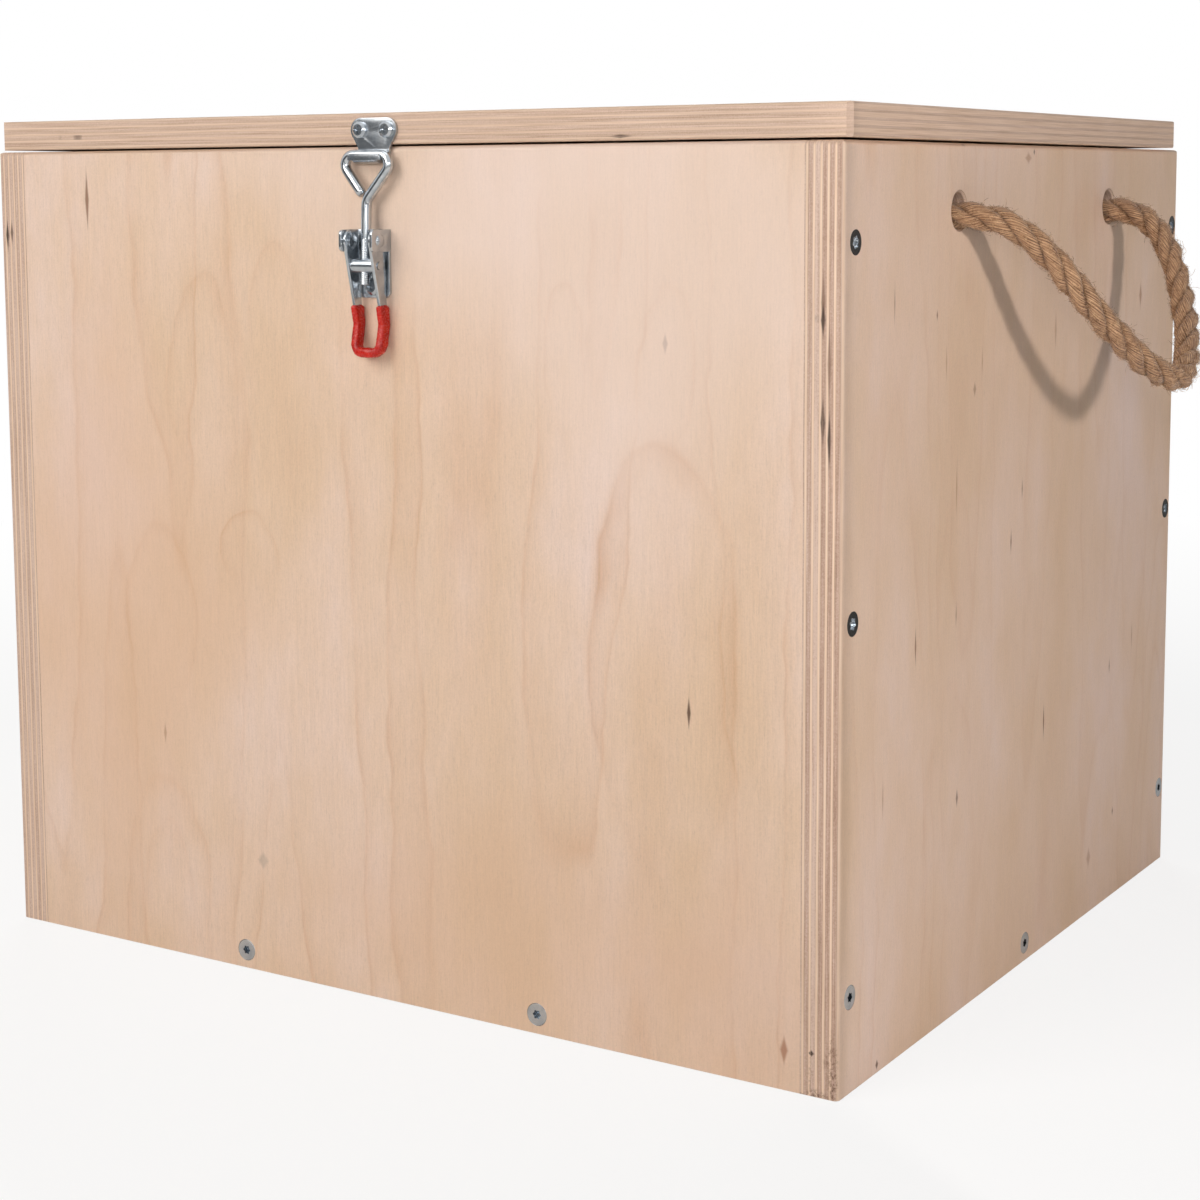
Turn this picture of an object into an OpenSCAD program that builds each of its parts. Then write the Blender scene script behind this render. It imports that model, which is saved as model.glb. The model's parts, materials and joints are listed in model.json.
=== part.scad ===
// Plywood chest with a hinged lid, an adjustable toggle latch and a rope handle.
// Millimetres. The front faces -Y, +X is to the right and +Z is up.
// The origin is the centre of the underside, on the surface the chest stands on.
// The latch is laid out in its own plane: d is the distance in front of the front wall.

/* [Body] */
// Outside width of the body, from side to side
body_w = 400; // [360:5:440]
// Outside depth of the body, from front to back
body_d = 350; // [330:5:390]
// Height of the body without the lid
body_h = 336; // [320:2:370]
// Thickness of the four wall boards
wall_t = 15; // [14:0.5:18]
// Thickness of the bottom board
bottom_t = 15; // [12:0.5:18]
// Radius sanded on the outer edges of the body
edge_r = 2; // [0.5:0.25:3]

/* [Lid] */
// Thickness of the lid board
lid_t = 12; // [12:0.5:16]
// How much wider the lid board is than the body
lid_over = 0; // [-20:1:6]
// Gap between the top edges of the walls and the lid
lid_gap = 0.8; // [0.5:0.1:0.9]
// How far the lid's front edge stands proud of the front wall
lid_proud = 0.4; // [0.3:0.1:0.8]
// How far the lid sits to the right of the body's middle
lid_shift = 2.6; // [-3:0.1:3]
// Strip of the back wall's top edge that the lid leaves bare for the hinges
lid_back = 13; // [12:0.25:14]
// Chamfer on the lid's four upright corners
lid_corner = 1.8; // [0.5:0.1:3]
// Radius sanded on the lid's long edges
lid_edge_r = 1; // [0.5:0.1:1.5]

/* [Wood screws] */
// Radius of the countersunk heads
screw_head_r = 4.4; // [3.5:0.1:5]
// Radius of the screw shanks
screw_r = 2.1; // [1.5:0.1:2.5]
// Length of the screws
screw_l = 45; // [30:1:60]
// Height of the lowest screw of each corner column above the bottom
column_low = 35.3; // [25:0.1:60]
// Height of each corner column's middle screw above the body's half height
column_mid_up = 1.3; // [-3:0.1:3]
// Distance of the front corner columns from the front edges
front_column_in = 9.2; // [6.6:0.1:9.5]
// Distance of the back corner columns from the back edges
back_column_in = 6.6; // [6.6:0.1:9.5]
// Distance of the front and back bottom screws from the middle
bottom_screw_x = 72; // [40:1:120]
// How far those screws sit to the right of the middle
bottom_screw_shift = 1; // [-3:0.5:3]
// Radial clearance of every screw in its hole
screw_fit = 0.1; // [0.05:0.05:0.2]

/* [Rope handle] */
// Radius of the rope
rope_r = 5; // [4:0.5:5.5]
// Radius of the holes that the rope passes through
rope_hole_r = 7; // [6:0.25:8]
// Distance of the front rope hole from the middle of the side
rope_hole_front = 77.7; // [76.5:0.1:79]
// Distance of the back rope hole from the middle of the side
rope_hole_back = 83.2; // [82:0.1:84.5]
// Depth of the rope holes below the top edge of the wall
rope_hole_drop = 25; // [23:0.5:27]
// Chamfer around the rope holes' mouths
rope_hole_chamfer = 0.8; // [0.2:0.1:1.5]
// Radius of each stopper knot
knot_r = 12; // [10:0.5:14]

/* [Hinges] */
// Length of each hinge
hinge_l = 50; // [40:1:70]
// Distance of each hinge's middle from the lid's nearer end
hinge_inset = 75; // [40:1:110]
// Thickness of the hinge leaves
leaf_t = 1.2; // [0.8:0.1:1.4]
// Outer radius of the hinge knuckles
knuckle_r = 2.3; // [2:0.1:2.6]
// Radius of the hinge pins
hinge_pin_r = 1.25; // [1:0.05:1.4]
// Radial clearance of the hinge pins in the knuckles
pin_fit = 0.05; // [0.02:0.01:0.09]
// Clearance between a knuckle and what passes it
knuckle_gap = 0.4; // [0.3:0.05:0.5]
// Head radius of the hinge screws
hinge_screw_head_r = 2.4; // [1.8:0.1:2.6]
// Shank radius of the hinge screws
hinge_screw_r = 1.2; // [0.9:0.1:1.4]
// Length of the hinge screws
hinge_screw_l = 14; // [10:1:20]

/* [Latch base] */
// Offset of the latch to the right of the body's middle
latch_x = 1.1; // [-5:0.1:5]
// Height of the lever's pivot below the top edge of the front wall
pivot_drop = 35.5; // [34:0.5:40]
// Distance of the lever's pivot in front of the wall
pivot_d = 7; // [6.5:0.1:8]
// Thickness of the base plate and of the lever strip
strip_t = 1.2; // [0.8:0.1:1.4]
// Depth of the base's two ears in front of the wall
ear_d = 12; // [11.5:0.25:13]
// Half height of the ears
ear_h = 4.2; // [3.6:0.1:4.6]
// Radius of the ears' front corners
ear_corner = 2; // [0.5:0.1:3.5]
// Length of the base plate below the pivot
base_drop = 22; // [20:0.5:23]
// Side clearance between the lever arms and the ears
ear_gap = 0.15; // [0.1:0.05:0.3]
// Radius of the pivot rivets
rivet_r = 1.6; // [1.2:0.1:2]
// Radius of the rivets' domed heads
rivet_head_r = 2.5; // [2.2:0.1:3]
// Radial running clearance of pivots and trunnion
running_fit = 0.05; // [0.02:0.01:0.09]

/* [Latch lever] */
// Width over the two arms of the lever
lever_w = 13.2; // [13:0.2:16]
// Radius of the arms' round ends
arm_end_r = 4.3; // [3.8:0.1:4.5]
// Length of the lever below its pivot
lever_l = 43.4; // [42:0.2:50]
// Radius of the bend at the lever's lower corners
lever_bend_r = 3; // [2:0.25:4]
// Thickness of the dipped coat on the grip
coat_t = 0.7; // [0.5:0.1:0.8]
// Distance from the pivot down to the coat's upper edge
coat_drop = 24.8; // [24:0.2:28]

/* [Latch loop] */
// Distance of the trunnion below the pivot
trunnion_drop = 9.5; // [9:0.1:10]
// Distance of the trunnion in front of the wall
trunnion_d = 5.7; // [5.5:0.1:6]
// Radius of the trunnion barrel
barrel_r = 3; // [2.6:0.1:3.2]
// Radius of the barrel's pins in the arms
barrel_pin_r = 1.5; // [1.2:0.1:1.8]
// Radius of the loop's rod
rod_r = 2; // [1.6:0.1:2]
// Half width of the loop's head between rod centres
loop_half_w = 10.2; // [9.8:0.1:12]
// Radius of the loop's upper corners at the rod's centre
loop_corner_r = 3.8; // [3:0.1:5]
// Slope of the loop's legs from the level
leg_angle = 50; // [46:1:54]
// Radius where the leg bends into the rod
neck_r = 5; // [4:0.25:6]
// Length of the rod that stands out below the barrel
rod_tail = 4.3; // [4:0.1:8]

/* [Catch plate] */
// Thickness of the catch plate
catch_t = 1.2; // [1:0.1:1.4]
// Offset of the catch plate from the latch's middle
catch_shift = 1.5; // [-1.6:0.1:1.6]
// Offset of the hook from the latch's middle
hook_shift = 0.6; // [-0.6:0.1:0.6]
// Half distance of the catch plate's screws
catch_screw_x = 6.35; // [6:0.1:7.5]
// Radius of the lobes round the screws
catch_lobe_r = 4.5; // [4:0.1:4.8]
// Half width of the plate's neck and of the hook's lip
hook_half_w = 7.4; // [6:0.1:7.4]
// Half width of the hook's bend, which passes under the loop's bar
bend_half_w = 5.7; // [4:0.1:5.7]
// Clearance of the loop's bar inside the hook
hook_gap = 0.2; // [0.15:0.05:0.3]
// Distance of the bar's centre below the top edge of the wall
bar_drop = 3; // [2.8:0.1:3.2]
// Height of the hook's lip
lip_h = 2.2; // [1.6:0.1:2.4]

/* [Small pan-head screws] */
// Radius of the pan heads
pan_r = 3.1; // [2.8:0.1:3.3]
// Height of the pan heads
pan_h = 1.6; // [1.4:0.1:1.7]
// Radius of the pan-head screws' shanks
pan_shank_r = 1.5; // [1.2:0.1:1.7]
// Length of the pan-head screws
pan_l = 12; // [8:1:13]

/* [Hidden] */

wood = [0.86, 0.75, 0.66];
zinc = [0.72, 0.74, 0.77];
rope = [0.72, 0.55, 0.38];
red = [0.82, 0.1, 0.08];

// How far a cutting shape runs past the face that it cuts
over = 1;
// Straight rim above the cone of a countersunk head
head_rim = 0.3;

inner_w = body_w - 2 * wall_t;
inner_d = body_d - 2 * wall_t;
front_y = -body_d / 2;

// Heights of the screws in the corner columns: low, middle and high
columns = [column_low, body_h / 2 + column_mid_up, body_h - column_low + 0.6];

lid_w = body_w + lid_over;
lid_bottom = body_h + lid_gap;
lid_top = lid_bottom + lid_t;
lid_front_y = front_y - lid_proud;
lid_back_y = body_d / 2 - lid_back;

// The hinge axis lies behind the lid's back edge and above the wall's top edge
knuckles = 5;
hinge_y = lid_back_y + knuckle_r + knuckle_gap;
hinge_z = body_h + knuckle_r + knuckle_gap;
knuckle_l = hinge_l / knuckles;
knuckle_end_gap = 0.15;
leaf_margin = 0.6;
leaf_clear = knuckle_r + knuckle_gap;
body_leaf_l = body_d / 2 - leaf_margin - hinge_y;
lid_leaf_l = lid_top - leaf_margin - hinge_z;
hinge_screw_dx = hinge_l / 2 - knuckle_l;

pivot_z = body_h - pivot_drop;
base_bottom = pivot_z - base_drop;
arm_out = lever_w / 2;
arm_in = arm_out - strip_t;
ear_in = arm_out + ear_gap;
ear_out = ear_in + strip_t;
rivet_head_h = 1.1;
rivet_foot_h = 0.6;
rivet_foot_r = rivet_r + 0.7;

// The arm's outline below its round end: [drop below the pivot, inner d, outer d]
arm_line = [[9.5, 2.3, 9.2], [24.8, 1.4, 5.6], [32, 1.1, 3.9]];
arm_tip = [3.7, 5.9];

trunnion_z = pivot_z - trunnion_drop;
bar_z = body_h - bar_drop;
bar_d = lid_proud + catch_t + hook_gap + rod_r;
// The loop leans so that its bar lies in the hook and its rod in the trunnion
loop_lean = atan2(trunnion_d - bar_d, bar_z - trunnion_z);
bar_s = (bar_z - trunnion_z) / cos(loop_lean);
corner_x = loop_half_w - loop_corner_r;
corner_s = bar_s - loop_corner_r;
leg_top = [
    corner_x + loop_corner_r * sin(leg_angle),
    corner_s - loop_corner_r * cos(leg_angle)
];
// Where the leg's centre line meets the rod's
neck_s = leg_top[1] - leg_top[0] * tan(leg_angle);
neck_tangent = neck_r * tan((90 - leg_angle) / 2);
free_end_x = 0.95 * rod_r;
// The bends are a trace thicker than the straights, whose ends run on into them
rod_swell = 0.03;
rod_into = 0.3;

catch_x = latch_x + catch_shift;
catch_screw_z = lid_bottom + lid_t / 2 - 0.4;
hook_r = rod_r + hook_gap;

rope_z = body_h - rope_hole_drop;
knot_gap = 0.3;
knot_face = body_w / 2 - wall_t - knot_gap;
knot_tail_l = 12;

// The rope's route from the front knot over the lowest point to the back knot
rope_points = [
    [184.7, -77.9, 309.5], [192, -77.9, 309.5], [200, -77.7, 309.5], [208, -77.2, 309],
    [216, -76, 307], [223, -73.5, 303], [229.5, -69.5, 296.8], [235.5, -63.8, 288.6],
    [241, -56.3, 279], [246, -47, 269.4], [250.5, -36.5, 260.5], [254.5, -24.5, 252.5],
    [257.5, -12, 247.2], [259, 0, 245.2], [257.5, 12, 247.2], [254.5, 24.5, 252],
    [250.5, 36.5, 259.5], [246, 47, 268], [241, 56.5, 277], [235.5, 64.5, 286.5],
    [229.5, 71, 295], [223, 76.3, 302], [216, 80, 306.6], [208, 82.2, 309.2],
    [200, 83, 309.6], [192, 83.2, 309.6], [184.7, 83.2, 309.6]
];
rope_sides = 10;
rope_last = len(rope_points) - 1;

// Shapes that repeat

// Cuts a quarter round of radius r off an edge that runs along Z at the origin
// and whose material lies towards -X and -Y
module edge_cut(length, r) {
    translate([-r, -r, -over])
        linear_extrude(length + 2 * over)
            difference() {
                square(r + over);
                circle(r = r, $fn = 32);
            }
}

// The sanded outer edges of the whole body
module body_edge_cuts() {
    for (sx = [0, 1], sy = [0, 1])
        mirror([sx, 0, 0]) mirror([0, sy, 0])
            translate([body_w / 2, body_d / 2, 0]) edge_cut(body_h, edge_r);
    for (sy = [0, 1])
        mirror([0, sy, 0])
            translate([-body_w / 2, body_d / 2, body_h])
                rotate([90, 0, 90]) edge_cut(body_w, edge_r);
    for (sx = [0, 1])
        mirror([sx, 0, 0])
            translate([body_w / 2, body_d / 2, body_h])
                rotate([90, 0, 0]) edge_cut(body_d, edge_r);
}

// A countersunk screw with its head's face at the origin and its shank towards -Z
module screw_shape(head_r, shank_r, length, fit = 0) {
    cone_end = head_rim + head_r - shank_r;
    top = fit > 0 ? over : 0;
    rotate_extrude($fn = 32)
        polygon([
            [0, top], [head_r + fit, top], [head_r + fit, -head_rim],
            [shank_r + fit, -cone_end], [shank_r + fit, -length + 2 * shank_r - fit],
            [0, -length - fit]
        ]);
}

// The six-lobed recess in a head, across its lobes 2 * r
module star_recess(r, depth) {
    translate([0, 0, -depth])
        linear_extrude(depth + over) {
            circle(r = 0.72 * r, $fn = 24);
            for (a = [0 : 60 : 300])
                rotate(a) translate([0.74 * r, 0]) circle(r = 0.26 * r, $fn = 16);
        }
}

module wood_screw(head_r, shank_r, length) {
    difference() {
        screw_shape(head_r, shank_r, length);
        star_recess(0.44 * head_r, 0.45 * head_r);
    }
}

// A pan-head screw: the underside of its head at the origin, its shank towards -Z
module pan_screw() {
    difference() {
        union() {
            cylinder(r = pan_r, h = 0.6 * pan_h, $fn = 32);
            translate([0, 0, 0.6 * pan_h])
                cylinder(r1 = pan_r, r2 = 0.7 * pan_r, h = 0.4 * pan_h, $fn = 32);
            translate([0, 0, -pan_l]) cylinder(r = pan_shank_r, h = pan_l, $fn = 24);
        }
        for (a = [0, 90])
            rotate(a) translate([-0.55 * pan_r, -0.3, 0.4 * pan_h])
                cube([1.1 * pan_r, 0.6, pan_h]);
    }
}

// A hole for a pan-head screw, from so far below a face to so far above it
module pan_hole(below, above) {
    translate([0, 0, -below])
        cylinder(r = pan_shank_r + screw_fit, h = below + above, $fn = 24);
}

// Places a child, whose screw runs towards -Z, at every screw of the right side
module at_side_screws() {
    for (y = [front_y + front_column_in, body_d / 2 - back_column_in], z = columns)
        translate([body_w / 2, y, z]) rotate([0, 90, 0]) children();
    translate([body_w / 2, 0, bottom_t / 2]) rotate([0, 90, 0]) children();
}

// Places a child at the two screws in the bottom edge of the front wall
module at_front_screws() {
    for (x = [-1, 1])
        translate([x * bottom_screw_x + bottom_screw_shift, front_y, bottom_t / 2])
            rotate([90, 0, 0]) children();
}

module at_all_wall_screws() {
    for (s = [0, 1]) mirror([s, 0, 0]) at_side_screws() children();
    for (s = [0, 1]) mirror([0, s, 0]) at_front_screws() children();
}

module wall_screw_holes() {
    at_all_wall_screws() screw_shape(screw_head_r, screw_r, screw_l, screw_fit);
}

module wall_screw() {
    color(zinc) wood_screw(screw_head_r, screw_r, screw_l);
}

// Body boards

module side_panel() {
    color(wood)
        difference() {
            translate([inner_w / 2, front_y, 0]) cube([wall_t, body_d, body_h]);
            body_edge_cuts();
            at_side_screws() screw_shape(screw_head_r, screw_r, screw_l, screw_fit);
            for (y = [-rope_hole_front, rope_hole_back])
                translate([inner_w / 2, y, rope_z]) rotate([0, 90, 0]) {
                    translate([0, 0, -over])
                        cylinder(r = rope_hole_r, h = wall_t + 2 * over, $fn = 48);
                    translate([0, 0, wall_t - rope_hole_chamfer])
                        cylinder(r1 = rope_hole_r, r2 = rope_hole_r + rope_hole_chamfer + over,
                                 h = rope_hole_chamfer + over, $fn = 48);
                }
        }
}

module side_panel_right() {
    side_panel();
}

module side_panel_left() {
    mirror([1, 0, 0]) side_panel();
}

module end_panel() {
    translate([-inner_w / 2, front_y, 0]) cube([inner_w, wall_t, body_h]);
}

module front_panel() {
    color(wood)
        difference() {
            end_panel();
            body_edge_cuts();
            wall_screw_holes();
            at_base_screws() pan_hole(pan_l - strip_t + screw_fit, over);
        }
}

module back_panel() {
    color(wood)
        difference() {
            mirror([0, 1, 0]) end_panel();
            body_edge_cuts();
            wall_screw_holes();
            at_body_leaf_screws()
                screw_shape(hinge_screw_head_r, hinge_screw_r, hinge_screw_l, screw_fit);
        }
}

module bottom_panel() {
    color(wood)
        difference() {
            translate([-inner_w / 2, -inner_d / 2, 0]) cube([inner_w, inner_d, bottom_t]);
            wall_screw_holes();
        }
}

module screws_side_right() {
    at_side_screws() wall_screw();
}

module screws_side_left() {
    mirror([1, 0, 0]) screws_side_right();
}

module screws_front() {
    at_front_screws() wall_screw();
}

module screws_back() {
    mirror([0, 1, 0]) screws_front();
}

// Rope handle

function unit(v) = v / norm(v);

// The rope's direction at point i
function rope_way(i) =
    unit(rope_points[min(i + 1, rope_last)] - rope_points[max(i - 1, 0)]);

// A ring of points around point i, its first axis kept level
function rope_ring(i) =
    let (way = rope_way(i), flat = unit(cross(way, [0, 0, 1])), up = cross(flat, way))
        [for (k = [0 : rope_sides - 1])
            rope_points[i] + rope_r * (cos(360 * k / rope_sides) * flat
                                       + sin(360 * k / rope_sides) * up)];

module rope_handle() {
    rings = rope_last + 1;
    n = rope_sides;
    points = [for (i = [0 : rings - 1]) each rope_ring(i)];
    sides = [
        for (i = [0 : rings - 2], k = [0 : n - 1])
            [i * n + k, i * n + (k + 1) % n, (i + 1) * n + (k + 1) % n, (i + 1) * n + k]
    ];
    caps = [[for (k = [n - 1 : -1 : 0]) k], [for (k = [0 : n - 1]) (rings - 1) * n + k]];
    color(rope) polyhedron(points = points, faces = concat(sides, caps));
}

// A stopper knot of two turns behind the wall, with its tail, at one end of the rope
module rope_knot(end) {
    turn_r = knot_r - rope_r;
    color(rope)
        translate([knot_face, end[1], end[2]]) rotate([0, -90, 0]) {
            for (i = [0, 1])
                translate([0, 0, rope_r + i * 1.7 * rope_r])
                    rotate_extrude($fn = 32) translate([turn_r, 0]) circle(r = rope_r, $fn = 20);
            cylinder(r = turn_r, h = 3.7 * rope_r, $fn = 32);
            cylinder(r = rope_r, h = 3.7 * rope_r + knot_tail_l, $fn = 24);
        }
}

module rope_knot_front() {
    rope_knot(rope_points[0]);
}

module rope_knot_back() {
    rope_knot(rope_points[rope_last]);
}

// Hinges

// Places a child at the middle of the left (-1) or right (1) hinge's axis
module at_hinge(side) {
    translate([lid_shift + side * (lid_w / 2 - hinge_inset), hinge_y, hinge_z]) children();
}

// Knuckle number i of a hinge, or the wider cut that clears it
module knuckle(i, r, extra = 0) {
    translate([-hinge_l / 2 + i * knuckle_l + knuckle_end_gap - extra, 0, 0])
        rotate([0, 90, 0])
            cylinder(r = r, h = knuckle_l - 2 * knuckle_end_gap + 2 * extra, $fn = 32);
}

// Cuts that let the other leaf's knuckles pass
module knuckle_room(first) {
    for (i = [first : 2 : knuckles - 1])
        translate([-hinge_l / 2 + i * knuckle_l - knuckle_end_gap, -leaf_clear, -leaf_clear])
            cube([knuckle_l + 2 * knuckle_end_gap, 2 * leaf_clear, 2 * leaf_clear]);
}

module pin_bore() {
    translate([-hinge_l / 2 - over, 0, 0]) rotate([0, 90, 0])
        cylinder(r = hinge_pin_r + pin_fit, h = hinge_l + 2 * over, $fn = 32);
}

// Places a child at the body leaves' screws, on the leaf's upper face
module at_body_leaf_screws() {
    for (side = [-1, 1], s = [-1, 1])
        at_hinge(side)
            translate([s * hinge_screw_dx, (leaf_clear + body_leaf_l) / 2, leaf_t - leaf_clear])
                children();
}

// Places a child at the lid leaves' screws, on the leaf's back face
module at_lid_leaf_screws() {
    for (side = [-1, 1], s = [-1, 1])
        at_hinge(side)
            translate([s * hinge_screw_dx, leaf_t - leaf_clear, (leaf_clear + lid_leaf_l) / 2])
                rotate([-90, 0, 0]) children();
}

module hinge_body_leaf(side) {
    color(zinc)
        difference() {
            at_hinge(side)
                difference() {
                    union() {
                        translate([-hinge_l / 2 + knuckle_end_gap, 0, -leaf_clear])
                            cube([hinge_l - 2 * knuckle_end_gap, body_leaf_l, leaf_t]);
                        for (i = [0 : 2 : knuckles - 1]) knuckle(i, knuckle_r);
                    }
                    knuckle_room(1);
                    pin_bore();
                }
            at_body_leaf_screws()
                screw_shape(hinge_screw_head_r, hinge_screw_r, hinge_screw_l, screw_fit);
        }
}

module hinge_lid_leaf(side) {
    color(zinc)
        difference() {
            at_hinge(side)
                difference() {
                    union() {
                        translate([-hinge_l / 2 + knuckle_end_gap, -leaf_clear, 0])
                            cube([hinge_l - 2 * knuckle_end_gap, leaf_t, lid_leaf_l]);
                        for (i = [1 : 2 : knuckles - 1]) knuckle(i, knuckle_r);
                    }
                    knuckle_room(0);
                    pin_bore();
                }
            at_lid_leaf_screws()
                screw_shape(hinge_screw_head_r, hinge_screw_r, hinge_screw_l, screw_fit);
        }
}

module hinge_body_leaf_right() {
    hinge_body_leaf(1);
}

module hinge_body_leaf_left() {
    hinge_body_leaf(-1);
}

module hinge_lid_leaf_right() {
    hinge_lid_leaf(1);
}

module hinge_lid_leaf_left() {
    hinge_lid_leaf(-1);
}

module hinge_pin(side) {
    color(zinc)
        at_hinge(side)
            translate([-hinge_l / 2, 0, 0]) rotate([0, 90, 0])
                cylinder(r = hinge_pin_r, h = hinge_l, $fn = 32);
}

module hinge_pin_right() {
    hinge_pin(1);
}

module hinge_pin_left() {
    hinge_pin(-1);
}

module hinge_body_screws() {
    color(zinc)
        at_body_leaf_screws() wood_screw(hinge_screw_head_r, hinge_screw_r, hinge_screw_l);
}

module hinge_lid_screws() {
    color(zinc)
        at_lid_leaf_screws() wood_screw(hinge_screw_head_r, hinge_screw_r, hinge_screw_l);
}

// Lid

module lid_board() {
    depth = lid_back_y - lid_front_y;
    middle_y = (lid_back_y + lid_front_y) / 2;
    color(wood)
        difference() {
            translate([lid_shift, middle_y, lid_bottom])
                difference() {
                    translate([-lid_w / 2, -depth / 2, 0]) cube([lid_w, depth, lid_t]);
                    for (sx = [0, 1], sy = [0, 1])
                        mirror([sx, 0, 0]) mirror([0, sy, 0])
                            translate([lid_w / 2, depth / 2, -over]) rotate(45)
                                translate([-lid_corner / sqrt(2), -lid_corner * 2, 0])
                                    cube([lid_corner * 4, lid_corner * 4, lid_t + 2 * over]);
                    for (sy = [0, 1], sz = [0, 1])
                        mirror([0, sy, 0]) translate([0, 0, lid_t / 2]) mirror([0, 0, sz])
                            translate([-lid_w / 2, depth / 2, lid_t / 2])
                                rotate([90, 0, 90]) edge_cut(lid_w, lid_edge_r);
                    for (sx = [0, 1], sz = [0, 1])
                        mirror([sx, 0, 0]) translate([0, 0, lid_t / 2]) mirror([0, 0, sz])
                            translate([lid_w / 2, depth / 2, lid_t / 2])
                                rotate([90, 0, 0]) edge_cut(depth, lid_edge_r);
                }
            at_lid_leaf_screws()
                screw_shape(hinge_screw_head_r, hinge_screw_r, hinge_screw_l, screw_fit);
            at_catch_screws() pan_hole(pan_l - catch_t + screw_fit, over);
        }
}

// Latch

// Lays out a shape drawn in the plane of d and height, between two places across
module across(x0, x1) {
    translate([latch_x + x0, front_y, 0]) rotate([90, 0, 90]) linear_extrude(x1 - x0)
        mirror([1, 0]) children();
}

// Places a child that runs along +X at the height of the pivot
module at_pivot() {
    translate([latch_x, front_y - pivot_d, pivot_z]) children();
}

module at_base_screws() {
    for (z = [base_bottom + 1.4 * pan_r, pivot_z - 0.5])
        translate([latch_x, front_y, z]) rotate([90, 0, 0]) children();
}

// An ear from the side, its front corners rounded
module ear_side() {
    square([ear_d - ear_corner, 2 * ear_h]);
    translate([0, ear_corner]) square([ear_d, 2 * (ear_h - ear_corner)]);
    for (z = [ear_corner, 2 * ear_h - ear_corner])
        translate([ear_d - ear_corner, z]) circle(r = ear_corner, $fn = 48);
}

module latch_base() {
    color(zinc)
        difference() {
            union() {
                across(-ear_out, ear_out)
                    translate([0, base_bottom]) square([strip_t, base_drop + ear_h]);
                for (x = [-ear_out, ear_in])
                    across(x, x + strip_t)
                        translate([0, pivot_z - ear_h]) ear_side();
            }
            at_pivot() translate([-ear_out - over, 0, 0]) rotate([0, 90, 0])
                cylinder(r = rivet_r, h = 2 * ear_out + 2 * over, $fn = 32);
            at_base_screws() pan_hole(over, strip_t + over);
            for (s = [-1, 1])
                translate([latch_x + s * ear_out, front_y, base_bottom]) rotate([0, 45, 0])
                    cube([2.4, 4 * strip_t, 2.4], center = true);
        }
}

module latch_base_screws() {
    color(zinc)
        at_base_screws() translate([0, 0, strip_t]) pan_screw();
}

// One stub rivet through the right ear and arm, with a domed head outside
module lever_rivet() {
    dome_r = (rivet_head_r * rivet_head_r + rivet_head_h * rivet_head_h) / (2 * rivet_head_h);
    rotate([0, 90, 0]) {
        translate([0, 0, arm_in - running_fit - rivet_foot_h])
            cylinder(r = rivet_foot_r, h = rivet_foot_h, $fn = 32);
        translate([0, 0, arm_in - running_fit])
            cylinder(r = rivet_r, h = ear_out - arm_in + running_fit, $fn = 32);
        intersection() {
            translate([0, 0, ear_out]) cylinder(r = rivet_head_r, h = rivet_head_h, $fn = 48);
            translate([0, 0, ear_out + rivet_head_h - dome_r]) sphere(r = dome_r, $fn = 48);
        }
    }
}

module lever_rivets() {
    color(zinc)
        at_pivot() for (s = [0, 1]) mirror([s, 0, 0]) lever_rivet();
}

// The lever seen from the side: its round ends, its taper and the kink above the grip.
// coat grows the outline for the dipped coat.
module lever_side(coat = 0) {
    tip_z = pivot_z - lever_l;
    translate([pivot_d, pivot_z]) circle(r = arm_end_r + coat, $fn = 48);
    polygon(concat(
        [[pivot_d - arm_end_r - coat, pivot_z]],
        [for (p = arm_line) [p[1] - coat, pivot_z - p[0]]],
        [[arm_tip[0] - coat, tip_z - coat], [arm_tip[1] + coat, tip_z - coat]],
        [for (i = [len(arm_line) - 1 : -1 : 0]) [arm_line[i][2] + coat, pivot_z - arm_line[i][0]]],
        [[pivot_d + arm_end_r + coat, pivot_z]]
    ));
}

// A U seen from the front: half width, its round corners and its lowest point
module u_outline(half, corner, low, high) {
    translate([-half, low + corner]) square([2 * half, high - low - corner]);
    translate([-half + corner, low]) square([2 * (half - corner), corner + over]);
    for (s = [-1, 1]) translate([s * (half - corner), low + corner]) circle(r = corner, $fn = 48);
}

// The space between two U outlines, run through the whole depth of the lever
module u_band(grow) {
    tip_z = pivot_z - lever_l;
    high = pivot_z + 2 * arm_end_r;
    translate([latch_x, front_y + over, 0]) rotate([90, 0, 0]) linear_extrude(4 * arm_end_r)
        difference() {
            u_outline(arm_out + grow, lever_bend_r + strip_t + grow, tip_z - grow, high);
            u_outline(arm_in - grow, lever_bend_r - grow, tip_z + strip_t + grow, high + over);
        }
}

module lever_strip() {
    intersection() {
        across(-arm_out - over, arm_out + over) lever_side();
        u_band(0);
    }
}

module latch_lever() {
    color(zinc)
        difference() {
            lever_strip();
            at_pivot() translate([-arm_out - over, 0, 0]) rotate([0, 90, 0])
                cylinder(r = rivet_r + running_fit, h = lever_w + 2 * over, $fn = 32);
            translate([latch_x - arm_out - over, front_y - trunnion_d, trunnion_z])
                rotate([0, 90, 0])
                    cylinder(r = barrel_pin_r + running_fit, h = lever_w + 2 * over, $fn = 32);
        }
}

// The dipped coat: the same shape grown by its thickness, less the strip inside it
module lever_grip() {
    color(red)
        difference() {
            intersection() {
                across(-arm_out - coat_t - over, arm_out + coat_t + over) lever_side(coat_t);
                u_band(coat_t);
                translate([latch_x - lever_w, front_y - 2 * ear_d, pivot_z - lever_l - 2 * over])
                    cube([2 * lever_w, 2 * ear_d, lever_l - coat_drop + 2 * over]);
            }
            lever_strip();
        }
}

// Places a child in the loop's own frame: rod along +Z, trunnion at the origin
module in_loop() {
    translate([latch_x, front_y - trunnion_d, trunnion_z]) rotate([-loop_lean, 0, 0]) children();
}

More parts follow.
